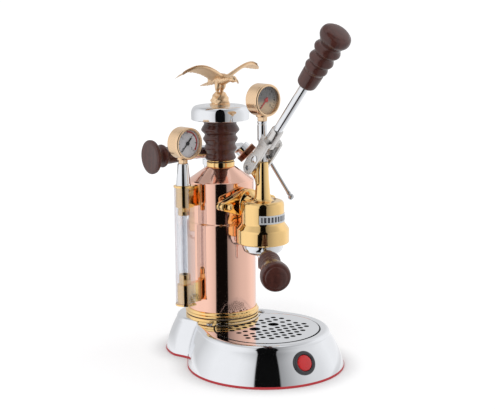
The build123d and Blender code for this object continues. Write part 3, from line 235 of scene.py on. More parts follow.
class Form:
    """A mesh in the making, in millimetres, from turned, drawn and cut shapes."""

    def __init__(self):
        self.mesh = bmesh.new()

    def take(self, points, faces, place=None):
        """Takes in points, moved to a place, and the faces between them."""
        place = place or Matrix()
        corners = [self.mesh.verts.new(place @ Vector(point)) for point in points]
        for face in faces:
            self.mesh.faces.new([corners[index] for index in face])
        return self

    def turned(self, outline, place=None, steps=96):
        """Closed outline of (radius, height) points turned about Z."""
        points, rows = [], []
        for radius, height in outline:
            if abs(radius) < 1e-6:
                rows.append([len(points)] * steps)
                points.append((0, 0, height))
                continue
            rows.append([len(points) + step for step in range(steps)])
            turns = [FULL * step / steps for step in range(steps)]
            points += [(radius * math.cos(turn), radius * math.sin(turn), height) for turn in turns]
        faces = []
        for index, first in enumerate(rows):
            second = rows[(index + 1) % len(rows)]
            if first[0] == first[1] and second[0] == second[1]:
                continue
            for step in range(steps):
                other = (step + 1) % steps
                around = dict.fromkeys((first[step], first[other], second[other], second[step]))
                faces.append(list(around))
        return self.take(points, faces, place)

    def disc(self, radius, low, high, place=None, ease=0.3, steps=64):
        """Round bar between two heights."""
        return self.turned(eased([(0, low), (radius, low), (radius, high), (0, high)], ease), place, steps)

    def prism(self, outline, low, high, place=None):
        """Flat outline drawn out between two heights."""
        count = len(outline)
        points = [(x, y, height) for height in (low, high) for x, y in outline]
        sides = [(index, (index + 1) % count, (index + 1) % count + count, index + count)
                 for index in range(count)]
        return self.take(points, [*sides, range(count, 2 * count), range(count - 1, -1, -1)], place)

    def hexagon(self, radius, low, high, place=None):
        """Hexagonal bar."""
        turns = [FULL * corner / 6 for corner in range(6)]
        outline = [(radius * math.cos(turn), radius * math.sin(turn)) for turn in turns]
        return self.prism(outline, low, high, place)

    def ball(self, radius, place=None, steps=48):
        """Sphere."""
        turns = [math.pi * step / 24 for step in range(25)]
        half = [(radius * math.sin(turn), -radius * math.cos(turn)) for turn in turns]
        half[0], half[-1] = (0.0, -radius), (0.0, radius)
        return self.turned(half, place, steps)

    def tube(self, path, radii, steps=28, flat=1.0):
        """Round bar along a path, with a radius for each point."""
        path = [Vector(point) for point in path]
        if not hasattr(radii, "__len__"):
            radii = [radii] * len(path)
        points, faces, side = [], [], None
        for index, point in enumerate(path):
            ahead = (path[min(index + 1, len(path) - 1)] - path[max(index - 1, 0)]).normalized()
            if side is None:
                side = ahead.orthogonal().normalized()
            side = (side - ahead * side.dot(ahead)).normalized()
            other = ahead.cross(side)
            points += [point + (side * math.cos(FULL * step / steps)
                                + other * flat * math.sin(FULL * step / steps)) * radii[index]
                       for step in range(steps)]
        for row in range(len(path) - 1):
            for step in range(steps):
                here, there = row * steps + step, row * steps + (step + 1) % steps
                faces.append((here, there, there + steps, here + steps))
        last = (len(path) - 1) * steps
        faces += [range(steps - 1, -1, -1), range(last, last + steps)]
        return self.take(points, faces)

    def row(self, loop, height):
        """Corners of a flat loop at a height, with no faces yet."""
        return [self.mesh.verts.new((x, y, height)) for x, y in loop]

    def bridge(self, lower, upper):
        """Faces between two closed rows of corners."""
        for step in range(len(lower)):
            other = (step + 1) % len(lower)
            self.mesh.faces.new((lower[step], lower[other], upper[other], upper[step]))

    def plate(self, loops, low, high, place=None, ease=0.3):
        """Flat plate with holes and eased edges, from its outline and the outlines of its holes."""
        curve = bpy.data.curves.new("outline", "CURVE")
        curve.dimensions, curve.fill_mode = "2D", "BOTH"
        curve.extrude, curve.bevel_depth = (high - low) / 2 - ease, ease
        curve.offset, curve.bevel_resolution = -ease, 2
        for loop in loops:
            spline = curve.splines.new("POLY")
            spline.points.add(len(loop) - 1)
            spline.points.foreach_set("co", [value for x, y in loop for value in (x, y, 0, 1)])
            spline.use_cyclic_u = True
        drawn = linked("outline", curve)
        mesh = worked_out(drawn)
        mesh.transform((place or Matrix()) @ shifted(0, 0, (low + high) / 2))
        self.mesh.from_mesh(mesh)
        bpy.data.objects.remove(drawn)
        bpy.data.curves.remove(curve)
        bpy.data.meshes.remove(mesh)
        return self

    def solid(self, name="form"):
        """Object with this form's mesh, in metres, merged and facing outwards."""
        bmesh.ops.remove_doubles(self.mesh, verts=self.mesh.verts, dist=1e-4)
        bmesh.ops.recalc_face_normals(self.mesh, faces=self.mesh.faces)
        mesh = bpy.data.meshes.new(name)
        self.mesh.transform(Matrix.Scale(MM, 4))
        self.mesh.to_mesh(mesh)
        self.mesh.free()
        return linked(name, mesh)


def linked(name, data):
    """A new object with this data, in the scene."""
    thing = bpy.data.objects.new(name, data)
    bpy.context.scene.collection.objects.link(thing)
    return thing


def worked_out(thing):
    """Plain mesh of a curve, a text or an object with modifiers."""
    bpy.context.view_layer.update()
    return bpy.data.meshes.new_from_object(thing.evaluated_get(bpy.context.evaluated_depsgraph_get()))


def settled(thing):
    """The object with its modifiers turned into plain mesh."""
    old, thing.data = thing.data, worked_out(thing)
    thing.modifiers.clear()
    if old.users == 0 and isinstance(old, bpy.types.Mesh):
        bpy.data.meshes.remove(old)
    return thing


def cut(thing, *tools):
    """The object less the tools' forms."""
    for tool in tools:
        knife = tool.solid("knife")
        change = thing.modifiers.new("cut", "BOOLEAN")
        change.operation, change.solver, change.object = "DIFFERENCE", "EXACT", knife
        change.use_self = True
        settled(thing)
        bpy.data.objects.remove(knife)
    return thing


def finished(thing, name, node, finish, slot, ease=0.0, angle=34.0):
    """Names, eases, shades and paints a piece, and hangs it on the body of its node."""
    thing.name = name
    if ease:
        change = thing.modifiers.new("ease", "BEVEL")
        change.width, change.segments, change.limit_method = ease * MM, 2, "ANGLE"
        change.angle_limit = math.radians(angle)
        settled(thing)
    thing.data.shade_smooth()
    thing.data.set_sharp_from_angle(angle=math.radians(angle))
    even = thing.modifiers.new("even shading", "WEIGHTED_NORMAL")
    even.keep_sharp, even.weight = True, 60
    settled(thing)
    thing.data.name = name
    thing.data.materials.clear()
    for part in ([finish] if isinstance(finish, str) else finish):
        thing.data.materials.append(paint(part))
    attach(thing, frame["nodes"][node]["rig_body"])
    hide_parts(node)
    return thing


def refined(node, finish, slot, angle=30.0):
    """A merged and smoothly shaded copy of a CAD node, in place of the node."""
    form = Form()
    form.mesh.from_mesh(frame["nodes"][node].data)
    bmesh.ops.remove_doubles(form.mesh, verts=form.mesh.verts, dist=1e-6)
    mesh = bpy.data.meshes.new(node)
    form.mesh.to_mesh(mesh)
    form.mesh.free()
    return finished(linked(node, mesh), node + "_smooth", node, finish, slot, angle=angle)


# Materials

class Channel:
    """A number, colour or direction on its way through a node tree, which takes part in sums."""

    def __init__(self, nodes, socket):
        self.nodes, self.socket = nodes, socket

    def maths(self, operation, *values):
        """Result of a sum in the same tree."""
        return self.nodes.maths(operation, *values)

    def __add__(self, other):
        return self.maths("ADD", self, other)

    def __radd__(self, other):
        return self.maths("ADD", other, self)

    def __sub__(self, other):
        return self.maths("SUBTRACT", self, other)

    def __rsub__(self, other):
        return self.maths("SUBTRACT", other, self)

    def __mul__(self, other):
        return self.maths("MULTIPLY", self, other)

    def __rmul__(self, other):
        return self.maths("MULTIPLY", other, self)

    def __truediv__(self, other):
        return self.maths("DIVIDE", self, other)

    def __pow__(self, other):
        return self.maths("POWER", self, other)

    def __lt__(self, other):
        return self.maths("LESS_THAN", self, other)

    def __gt__(self, other):
        return self.maths("GREATER_THAN", self, other)

    def sine(self):
        """Sine of an angle in radians."""
        return self.maths("SINE", self)

    def size(self):
        """The number without its sign."""
        return self.maths("ABSOLUTE", self)

    def within(self, low, high):
        """1 between two limits and 0 outside."""
        return (self > low) * (self < high)

    def ramp(self, low, high, start=0.0, end=1.0):
        """Smooth step between two limits."""
        return self.nodes.add("ShaderNodeMapRange", {"interpolation_type": "SMOOTHSTEP"},
                              {0: self, 1: low, 2: high, 3: start, 4: end})


class Nodes:
    """Node tree of a material or of the world, filled by one method."""

    def __init__(self, tree):
        self.tree = tree

    def add(self, kind, settings=None, inputs=None, out=0):
        """Adds a node, sets it up, gives its sockets their values or links, and returns an output."""
        node = self.tree.nodes.new(kind)
        for key, value in (settings or {}).items():
            if key == "stops":
                ramp = node.color_ramp.elements
                while len(ramp) < len(value):
                    ramp.new(0.5)
                for stop, (place, tone) in zip(ramp, value):
                    stop.position, stop.color = place, (*tone, 1.0)
            else:
                setattr(node, key, value)
        for key, value in (inputs or {}).items():
            if isinstance(value, Channel):
                self.tree.links.new(value.socket, node.inputs[key])
            else:
                node.inputs[key].default_value = value
        return Channel(self, node.outputs[out])

    def maths(self, operation, *values):
        """Result of a sum on numbers."""
        return self.add("ShaderNodeMath", {"operation": operation}, dict(enumerate(values)))

    def mix(self, share, first, second):
        """Colour between two colours."""
        ends = [(*part, 1.0) if isinstance(part, tuple) else part for part in (first, second)]
        return self.add("ShaderNodeMix", {"data_type": "RGBA"}, {0: share, 6: ends[0], 7: ends[1]}, out=2)

    def shade(self, share, tone, dark, light):
        """Colour between a darker and a lighter shade of one tone."""
        tone = colour(tone)
        return self.mix(share, tuple(dark * part for part in tone),
                        tuple(min(1.0, light * part) for part in tone))

    def rays(self):
        """Whether a ray comes from the camera, off something glossy or through something clear."""
        path = self.add("ShaderNodeLightPath").socket.node
        return [Channel(self, path.outputs[key]) for key in (
            "Is Camera Ray", "Is Glossy Ray", "Is Transmission Ray")]

    def axes(self, vector):
        """The three numbers of a direction."""
        first = self.add("ShaderNodeSeparateXYZ", None, {0: vector})
        node = first.socket.node
        return [Channel(self, node.outputs[index]) for index in range(3)]

    def place(self, origin=(0, 0, 0), turn=(0, 0, 0), scale=(1, 1, 1)):
        """Object coordinates about a point given in millimetres, turned and stretched."""
        here = self.add("ShaderNodeTexCoord", out=3)
        moved = self.add("ShaderNodeVectorMath", {"operation": "SUBTRACT"},
                         {0: here, 1: tuple(value * MM for value in origin)})
        return self.add("ShaderNodeMapping", {"vector_type": "POINT"}, {0: moved, 2: turn, 3: scale})

    def noise(self, where, scale, detail=3.0, rough=0.55):
        """Cloudy noise from 0 to 1."""
        return self.add("ShaderNodeTexNoise", None, {"Vector": where, "Scale": scale, "Detail": detail,
                                                     "Roughness": rough})

    def bump(self, height, strength, distance=0.0002, normal=None):
        """Bumped normal."""
        inputs = {"Height": height, "Strength": strength, "Distance": distance}
        if normal is not None:
            inputs["Normal"] = normal
        return self.add("ShaderNodeBump", None, inputs)


class Paint(Nodes):
    """A material with one main shader."""

    def __init__(self, name, **fixed):
        self.material = bpy.data.materials.new(name)
        self.material.use_nodes = True
        super().__init__(self.material.node_tree)
        self.tree.nodes.clear()
        self.shader = self.add("ShaderNodeBsdfPrincipled")
        self.sink = self.tree.nodes.new("ShaderNodeOutputMaterial")
        self.tree.links.new(self.shader.socket, self.sink.inputs[0])
        self.set(**fixed)

    def set(self, **values):
        """Gives the main shader's sockets their values or links, with spaces written as underscores."""
        for key, value in values.items():
            socket = self.shader.socket.node.inputs[key.replace("_", " ")]
            if isinstance(value, Channel):
                self.tree.links.new(value.socket, socket)
            else:
                socket.default_value = (*value, 1.0) if socket.type == "RGBA" and len(value) == 3 else value
        return self

    def surface(self, shader):
        """Puts another shader in place of the main one."""
        self.tree.links.new(shader.socket, self.sink.inputs[0])
        return self


PAINTS = {}


def paint(name):
    """A finish by name, made the first time that it is asked for."""
    if name not in PAINTS:
        make, *values = FINISHES[name]
        PAINTS[name] = make(name, *values).material
    return PAINTS[name]


def colour(tone):
    """A colour given by its numbers, or by its name in the panel's settings."""
    if isinstance(tone, str):
        return tuple(getattr(bpy.context.scene.espresso_colours, tone))
    return tone


def polished(name, tone, rough=0.05, lines=0.0, haze=0.03, axis=(0, 0, 1)):
    """Polished metal with faint haze, fine polishing lines and a slow waviness."""
    work = Paint(name, Metallic=1.0)
    here = work.place()
    smear = work.noise(here, 38.0, 4.0)
    lines_where = work.place(scale=tuple(1600.0 if part else 30.0 for part in axis))
    scratch = work.noise(lines_where, 1.0, 2.0)
    fine = work.noise(here, 900.0, 2.0)
    tint = work.shade(smear, tone, 0.965, 1.02)
    work.set(Base_Color=tint, Roughness=rough + haze * smear + lines * scratch + 0.01 * fine)
    slow = work.noise(here, 14.0, 1.0)
    wave = work.bump(slow, 0.02, 0.002)
    return work.set(Normal=work.bump(scratch, 0.02 + lines * 0.4, 0.00005, wave))


def satin(name, tone, rough=0.3, axis=(0, 0, 1), strength=0.18):
    """Brushed or bead-finished metal, with lines across an axis."""
    work = Paint(name, Metallic=1.0)
    brush = work.noise(work.place(scale=tuple(2600.0 if part else 55.0 for part in axis)), 1.0, 3.0, 0.7)
    smear = work.noise(work.place(), 60.0, 4.0)
    tint = work.shade(brush, tone, 0.86, 1.06)
    work.set(Base_Color=tint, Roughness=rough + 0.12 * (brush - 0.5) + 0.06 * smear)
    return work.set(Normal=work.bump(brush, strength, 0.00008))


def turned_wood(name, place):
    """Dark turned hardwood with streaks along its axis, fine pores and a satin varnish."""
    work = Paint(name)
    turn = place.to_3x3().inverted().to_euler()
    here = work.place(tuple(place.translation), tuple(turn))
    along = work.add("ShaderNodeMapping", None, {0: here, 3: (420.0, 420.0, 16.0)})
    bend = work.noise(here, 24.0, 3.0)
    bent = work.add("ShaderNodeVectorMath", {"operation": "ADD"}, {0: along, 1: bend})
    grain = work.noise(bent, 0.55, 6.0, 0.6)
    fine = work.add("ShaderNodeMapping", None, {0: here, 3: (3000.0, 3000.0, 160.0)})
    pores = work.noise(fine, 1.0, 3.0, 0.7)
    x = work.axes(here)[0]
    rings = (((x * 700.0) + (bend * 9.0)).sine() * 0.5 + 0.5) * 0.12 + grain * 0.88
    dark, red = colour("wood_dark"), colour("wood_red")
    body = work.mix(rings.ramp(0.15, 0.9), dark, red)
    dust = work.mix(pores.ramp(0.58, 0.72, 0.0, 0.4), body, tuple(0.5 * part for part in dark))
    height = grain * 0.4 - pores.ramp(0.55, 0.75) * 0.6
    return work.set(Base_Color=dust, Roughness=0.45 + 0.1 * grain, Coat_Weight=0.6, Coat_Roughness=0.16,
                    Coat_IOR=1.65, Specular_IOR_Level=0.2, Normal=work.bump(height, 0.15, 0.0001))


def moulded(name, tone, rough=0.35, grain=0.2, coat=0.0):
    """Moulded plastic or rubber with a fine grain and faint handling marks."""
    work = Paint(name, Coat_Weight=coat)
    here = work.place()
    fine = work.noise(here, 2600.0, 2.0)
    smear = work.noise(here, 70.0, 4.0)
    tint = work.shade(smear, tone, 0.85, 1.12)
    return work.set(Base_Color=tint, Roughness=rough + 0.12 * (smear - 0.5) + 0.05 * fine,
                    Normal=work.bump(fine, grain, 0.00006))


def clear(name, tone, haze=0.04, rough=0.02, sheen=0.0):
    """Clear glass or acrylic with a slight tint, mirroring at its edges, with faint streaks."""
    work = Paint(name)
    streak = work.noise(work.place(scale=(900.0, 900.0, 9.0)), 1.0, 3.0)
    see = work.add("ShaderNodeBsdfTransparent", None, {0: (*tone, 1.0)})
    gloss = work.add("ShaderNodeBsdfAnisotropic", None, {
        0: (1.0, 1.0, 1.0, 1.0), 1: rough + haze * streak.ramp(0.5, 0.8)})
    inward = Channel(work, work.add("ShaderNodeNewGeometry").socket.node.outputs["Backfacing"])
    edge = (work.add("ShaderNodeFresnel", None, {0: 1.46}) + sheen) * (1.0 - inward)
    return work.surface(work.add("ShaderNodeMixShader", None, {0: edge + haze * streak, 1: see, 2: gloss}))


def dial(name, place, base, marks, band=None, lower=None):
    """Printed gauge face: minor and major ticks round three quarters, with a coloured band."""
    work = Paint(name, Roughness=0.45)
    x, _, z = work.axes(work.place(tuple(place.translation)))
    reach = work.maths("SQRT", x * x + z * z) / MM
    turn = work.maths("ARCTAN2", x, z) * (180.0 / math.pi)
    scale_end, minor_step, major_step, scale_radius = 136.0, 13.5, 45.0, 15.3
    on_scale = (turn.size() < scale_end) * 1.0
    minor = (turn * (math.pi / minor_step)).sine().size() < 0.34
    major = (turn * (math.pi / major_step)).sine().size() < 0.16
    ticks = work.maths("MAXIMUM", minor * reach.within(13.3, scale_radius),
                       major * reach.within(12.0, scale_radius))
    ink = on_scale * ticks
    grain = work.noise(work.place(), 1400.0, 2.0)
    shade = work.mix(grain, tuple(0.92 * part for part in base), base)
    if lower:
        shade = work.mix((z / MM).ramp(-8.0, 3.0), lower, shade)
    if band:
        shade = work.mix(reach.within(13.9, 16.0) * turn.within(*band[0]), shade, band[1])
    return work.set(Base_Color=work.mix(ink, shade, marks), Normal=work.bump(grain, 0.05, 0.00003))


def fields(name):
    """Temperature strip: silver band with a row of dark framed fields."""
    work = Paint(name, Roughness=0.35, Metallic=0.35)
    x, y, z = work.axes(work.place((0, GROUP_Y, FIELDS_Z)))
    turn = work.maths("ARCTAN2", x, y * -1.0) * (180.0 / math.pi)
    height = z / MM
    half_field, row_start, row_end = 4.9, 49.0, 45.0
    across = work.maths("PINGPONG", turn + row_start, half_field) / half_field
    field = (across > 0.38) * height.within(2.2, 8.8) * (turn.size() < row_end)
    window = (across > 0.66) * height.within(3.6, 7.4) * (turn.size() < row_end)
    frost = work.noise(work.place(), 900.0, 3.0)
    base = work.mix(frost, (0.62, 0.64, 0.66), (0.74, 0.76, 0.78))
    inked = work.mix(field, base, (0.035, 0.035, 0.045))
    return work.set(Base_Color=work.mix(window * frost.ramp(0.35, 0.6), inked, (0.16, 0.16, 0.18)),
                    Normal=work.bump(field, 0.25, 0.00005))


# Direction of the gap between the big diffusers that polished metal mirrors, and the diffusers'
# brightness by side, from the gap: degrees to the right of it and brightness
GAP_SIDE = (-0.626, -0.780)
DIFFUSERS = (
    (-180, 0.70), (-135, 0.68), (-117, 0.84), (-102, 0.94), (-90, 1.0), (-50, 1.0), (-36, 0.93),
    (-25, 0.82), (-20, 0.72), (-18.5, 0.004), (18.5, 0.004), (20, 0.34), (25, 0.39), (35, 0.50),
    (45, 0.61), (62, 0.74), (88, 0.82), (101, 0.91), (116, 1.0), (150, 0.95), (180, 0.70))


def diffusers(work, x, y):
    """Brightness of the studio toward a side, as polished metal mirrors it."""
    ahead = x * GAP_SIDE[0] + y * GAP_SIDE[1]
    beside = x * -GAP_SIDE[1] + y * GAP_SIDE[0]
    turn = work.maths("ARCTAN2", beside, ahead) * (180.0 / math.pi)
    stops = [((place + 180) / 360, (level, level, level * 1.01)) for place, level in DIFFUSERS]
    return work.add("ShaderNodeValToRGB", {"stops": stops}, {0: turn / 360.0 + 0.5})


def studio_floor(name):
    """Plain white floor that keeps the object's shadow, with a painted contact shadow where ambient occlusion
    darkens its glow near the object; metal mirrors the diffusers in its far part.
    """
    work = Paint(name, Base_Color=(0.8, 0.8, 0.8), Roughness=0.9, Specular_IOR_Level=0.0)
    seen, glossy, through = work.rays()
    x, y, _ = work.axes(work.place())
    grain = work.noise(work.place(), 300.0, 2.0)
    work.set(Roughness=0.85 + 0.1 * grain)
    bright = diffusers(work, x, y)
    reach = work.maths("SQRT", x * x + (y + 0.06) ** 2)
    far = reach.ramp(0.135, 0.16) * glossy
    # Painted contact shadow: ambient occlusion darkens the floor's glow near the object.
    near = work.add("ShaderNodeAmbientOcclusion", {"samples": 8}, {"Distance": 0.03}, out=1)
    lift = work.add("ShaderNodeEmission", None, {
        0: work.mix(work.maths("MAXIMUM", seen, glossy + through), (0.0, 0.0, 0.0), (1.0, 1.0, 1.0)),
        1: near ** 3 * reach.ramp(0.16, 0.6, 0.38, 0.56)})
    lit = work.add("ShaderNodeAddShader", None, {0: work.shader, 1: lift})
    mirrored = work.add("ShaderNodeEmission", None, {0: bright})
    return work.surface(work.add("ShaderNodeMixShader", None, {0: far, 1: lit, 2: mirrored}))


# Finishes: the function that makes each, and the values that it takes. A metal's or plastic's colour
# is given by numbers or by its name in the panel's settings.
FINISHES = {
    "polished copper": (polished, "copper", 0.055, 0.02),
    "polished brass": (polished, "brass", 0.05, 0.015),
    "group gold": (polished, "brass", 0.045, 0.01),
    "gauge gold": (satin, "rose_gold", 0.18, (0, 1, 0), 0.03),
    "bezel gold": (polished, "rose_gold", 0.09, 0.02),
    # The knurl's finish is copper darkened as painted shade, for the shade between the ridges of the ring
    # nut.
    "knurl copper": (polished, "knurl", 0.14, 0.05),
    "eagle gold": (satin, "eagle", 0.36, (0, 0, 0), 0.25),
    "chrome": (polished, "chrome", 0.03, 0.01, 0.02),
    "lever nickel": (satin, "nickel", 0.2, (1, 0, 0), 0.03),
    "bright steel": (satin, (0.62, 0.62, 0.63), 0.2, (0, 0, 1), 0.08),
    "dark steel": (satin, (0.30, 0.30, 0.31), 0.4, (0, 0, 1), 0.1),
    # The tray's steel is painted nearly black: painted shade for the shade under the grille.
    "tray steel": (satin, (0.12, 0.12, 0.125), 0.5, (0, 0, 1), 0.1),
    "wand steel": (polished, (0.60, 0.60, 0.61), 0.15, 0.04),
    "ring copper": (polished, "ring", 0.08, 0.02),
    "rod steel": (polished, (0.72, 0.72, 0.72), 0.12, 0.05),
    "grip wood": (turned_wood, shifted(0, 0, 256)),
    "knob wood": (turned_wood, VALVE),
    "lever wood": (turned_wood, LEVER),
    "portafilter wood": (turned_wood, PORTAFILTER),
    "red strip rubber": (moulded, "strip", 0.5, 0.25),
    # The gap's finish is painted shade: a dark colour in place of chrome, for the shade in the gap round the
    # grille.
    "cavity paint": (moulded, "cavity", 0.7, 0.1),
    "black rubber": (moulded, (0.03, 0.03, 0.032), 0.62, 0.3),
    "grey gasket": (moulded, (0.10, 0.10, 0.105), 0.6, 0.3),
    "bezel plastic": (moulded, (0.045, 0.045, 0.05), 0.36, 0.25),
    "button plastic": (moulded, "button", 0.16, 0.05, 0.6),
    "gauge glass": (clear, (0.99, 0.99, 0.99), 0.01),
    "tube glass": (clear, (0.92, 0.925, 0.94), 0.04, 0.02, 0.05),
    "shield acrylic": (clear, (0.90, 0.905, 0.92), 0.05, 0.03, 0.13),
    "pale dial": (dial, BOILER_GAUGE, (0.66, 0.655, 0.68), (0.03, 0.03, 0.03),
                  ((-4.0, 128.0), (0.52, 0.05, 0.05))),
    "dark dial": (dial, PISTON_GAUGE, (0.17, 0.165, 0.16), (0.02, 0.018, 0.015), None, (0.66, 0.49, 0.31)),
    "pale ink": (moulded, (0.06, 0.06, 0.06), 0.5, 0.05),
    "black needle": (moulded, (0.015, 0.015, 0.015), 0.3, 0.05),
    "red needle": (moulded, (0.55, 0.02, 0.015), 0.3, 0.05),
    "temperature fields": (fields,),
    "white floor": (studio_floor,),
}


# Repeats by Geometry Nodes

def repeat_tree():
    """Tree that sets a piece on every point of a mesh, turned and stretched by the points' attributes."""
    tree = bpy.data.node_groups.new("Set pieces on points", "GeometryNodeTree")
    for name, kind, side in (
            ("Points", "Geometry", "INPUT"), ("Piece", "Object", "INPUT"), ("Size", "Float", "INPUT"),
            ("Finish", "Material", "INPUT"), ("Pieces", "Geometry", "OUTPUT")):
        tree.interface.new_socket(name=name, in_out=side, socket_type=f"NodeSocket{kind}")
    work = Nodes(tree)
    given = work.add("NodeGroupInput").socket.node
    points, piece, size, coat = [Channel(work, given.outputs[index]) for index in range(4)]
    shape = work.add("GeometryNodeObjectInfo", None, {0: piece}, out="Geometry")
    turn = work.add("GeometryNodeInputNamedAttribute", {"data_type": "QUATERNION"}, {"Name": "turn"})
    stretch = work.add("GeometryNodeInputNamedAttribute", {"data_type": "FLOAT_VECTOR"}, {"Name": "stretch"})
    grown = work.add("ShaderNodeVectorMath", {"operation": "SCALE"}, {0: stretch, "Scale": size})
    spread = work.add("GeometryNodeInstanceOnPoints", None, {
        "Points": points, "Instance": shape, "Rotation": turn, "Scale": grown})
    real = work.add("GeometryNodeRealizeInstances", None, {0: spread})
    done = work.add("GeometryNodeSetMaterial", None, {0: real, "Material": coat})
    tree.links.new(done.socket, tree.nodes.new("NodeGroupOutput").inputs[0])
    return tree


def sheet_tree():
    """Tree that makes a perforated sheet from an outline and points that carry a hole's radius."""
    tree = bpy.data.node_groups.new("Perforated sheet", "GeometryNodeTree")
    for name, kind, side in (
            ("Outline", "Geometry", "INPUT"), ("Hole places", "Object", "INPUT"),
            ("Thickness", "Float", "INPUT"), ("Facets", "Int", "INPUT"), ("Finish", "Material", "INPUT"),
            ("Height", "Float", "INPUT"), ("Sheet", "Geometry", "OUTPUT")):
        tree.interface.new_socket(name=name, in_out=side, socket_type=f"NodeSocket{kind}")
    work = Nodes(tree)
    given = work.add("NodeGroupInput").socket.node
    outline, places, thick, facets, coat, height = [
        Channel(work, given.outputs[index]) for index in range(6)]
    edge = work.add("GeometryNodeMeshToCurve", None, {0: outline})
    holes = work.add("GeometryNodeObjectInfo", None, {0: places}, out="Geometry")
    circle = work.add("GeometryNodeCurvePrimitiveCircle", None, {"Resolution": facets, "Radius": 1.0})
    radius = work.add("GeometryNodeInputNamedAttribute", {"data_type": "FLOAT"}, {"Name": "radius"})
    rings = work.add("GeometryNodeInstanceOnPoints", None, {
        "Points": holes, "Instance": circle, "Scale": radius})
    real = work.add("GeometryNodeRealizeInstances", None, {0: rings})
    joined = tree.nodes.new("GeometryNodeJoinGeometry")
    for part in (edge, real):
        tree.links.new(part.socket, joined.inputs[0])
    flat = work.add("GeometryNodeFillCurve", None, {0: Channel(work, joined.outputs[0])})
    up = work.add("ShaderNodeCombineXYZ", None, {2: height})
    flat = work.add("GeometryNodeTransform", None, {0: flat, "Translation": up})
    raised = work.add("GeometryNodeExtrudeMesh", {"mode": "FACES"}, {
        0: flat, "Offset Scale": thick, "Individual": False})
    under = work.add("GeometryNodeFlipFaces", None, {0: flat})
    both = tree.nodes.new("GeometryNodeJoinGeometry")
    for part in (raised, under):
        tree.links.new(part.socket, both.inputs[0])
    welded = work.add("GeometryNodeMergeByDistance", None, {
        0: Channel(work, both.outputs[0]), "Distance": 1e-6})
    done = work.add("GeometryNodeSetMaterial", None, {0: welded, "Material": coat})
    tree.links.new(done.socket, tree.nodes.new("NodeGroupOutput").inputs[0])
    return tree


def dress(thing, tree, **inputs):
    """Adds a tree to an object with its inputs by name, and settles the result."""
    change = thing.modifiers.new(tree.name, "NODES")
    change.node_group = tree
    for item in tree.interface.items_tree:
        key = item.name.replace(" ", "_")
        if item.in_out == "INPUT" and key in inputs:
            change[item.identifier] = inputs[key]
    return settled(thing)


def points_mesh(name, places):
    """Mesh of loose points from place matrices in millimetres, with their turns and stretches."""
    mesh = bpy.data.meshes.new(name)
    mesh.from_pydata([place.translation * MM for place in places], [], [])
    turns = mesh.attributes.new("turn", "QUATERNION", "POINT")
    turns.data.foreach_set("value", [value for place in places for value in place.to_quaternion()])
    sizes = mesh.attributes.new("stretch", "FLOAT_VECTOR", "POINT")
    sizes.data.foreach_set("vector", [value for place in places for value in place.to_scale()])
    return linked(name, mesh)


def repeated(form, places, finish):
    """Object with a form set at every place."""
    piece = form.solid("repeated piece")
    thing = dress(points_mesh("places", places), TREES["repeat"], Piece=piece, Size=1.0,
                  Finish=paint(finish))
    bpy.data.objects.remove(piece)
    return thing


def joined(first, *others):
    """One object from several."""
    form = Form()
    for thing in (first, *others):
        form.mesh.from_mesh(thing.data)
    form.mesh.to_mesh(first.data)
    form.mesh.free()
    for thing in others:
        bpy.data.objects.remove(thing)
    return first


TREES = {}


# Settings

class EspressoColours(bpy.types.PropertyGroup):
    """Colours of the finishes, as linear values."""


for key, words, value in (
        ("copper", "Polished copper of the boiler", (0.955, 0.59, 0.465)),
        ("brass", "Polished brass and gold of the group and rings", (0.97, 0.66, 0.29)),
        ("rose_gold", "Satin gold of the gauge cases", (0.93, 0.66, 0.42)),
        ("eagle", "Satin gold of the eagle", (0.95, 0.68, 0.43)),
        # The next colour is copper darkened as painted shade, for the shade between the ridges of the knurled
        # band.
        ("knurl", "Dark copper of the ridges on the wand's ring nut", (0.24, 0.10, 0.06)),
        ("ring", "Copper of the wand's ring nut", (0.66, 0.36, 0.24)),
        ("chrome", "Chrome of the base, disc and stems", (0.83, 0.845, 0.87)),
        ("nickel", "Nickel of the lever's fork", (0.74, 0.72, 0.70)),
        ("wood_dark", "Dark streaks of the wood", (0.046, 0.011, 0.008)),
        ("wood_red", "Red-brown body of the wood", (0.100, 0.027, 0.018)),
        ("strip", "Red rubber strip under the base", (0.56, 0.035, 0.045)),
        ("button", "Red push button", (0.62, 0.012, 0.016)),
        # The next colour is painted shade: it stands in for the shade inside the gap round the grille.
        ("cavity", "Dark inside of the gap round the grille", (0.03, 0.03, 0.032))):
    EspressoColours.__annotations__[key] = bpy.props.FloatVectorProperty(
        name=key.replace("_", " ").capitalize(), description=words, subtype="COLOR", size=3,
        min=0.0, max=1.0, default=value)


class EspressoSizes(bpy.types.PropertyGroup):
    """Sizes of the visible details."""

    hole_radius: bpy.props.FloatProperty(
        name="Grille hole radius", description="Radius of a small hole in the drip grille",
        default=3.5 * MM, min=1.0 * MM, max=5.0 * MM, unit="LENGTH")
    finger_radius: bpy.props.FloatProperty(
        name="Finger hole radius", description="Radius of a finger hole in the drip grille",
        default=7.0 * MM, min=5.0 * MM, max=9.0 * MM, unit="LENGTH")
    ridges: bpy.props.IntProperty(
        name="Knurl ridges", description="Ridges round the wand's ring nut", default=44, min=12, max=90)
    edge: bpy.props.FloatProperty(
        name="Eased edge", description="Width of the eased edges of cast and cut pieces",
        default=0.5 * MM, min=0.1 * MM, max=1.5 * MM, unit="LENGTH")


def edge_size():
    """The eased edge of the panel's settings, in millimetres."""
    return bpy.context.scene.espresso_sizes.edge / MM


# Base

# Domes that the base's wall is made of: place of the axis in Y, radius at the foot, share of the insets
FRONT_DOME = (-88.4, 100.0, 1.0)
WAIST_DOME = (-56.0, 80.0, 0.61)
LOBE_DOME = (12.0, 68.0, 0.8)

# Flanks of the lobe, which spread toward the back: distance from its axis and angle, then the softness
# of the valleys between domes
FLANK = 64.4
FLANK_LEAN = math.radians(15.1)
VALLEY = 1.6

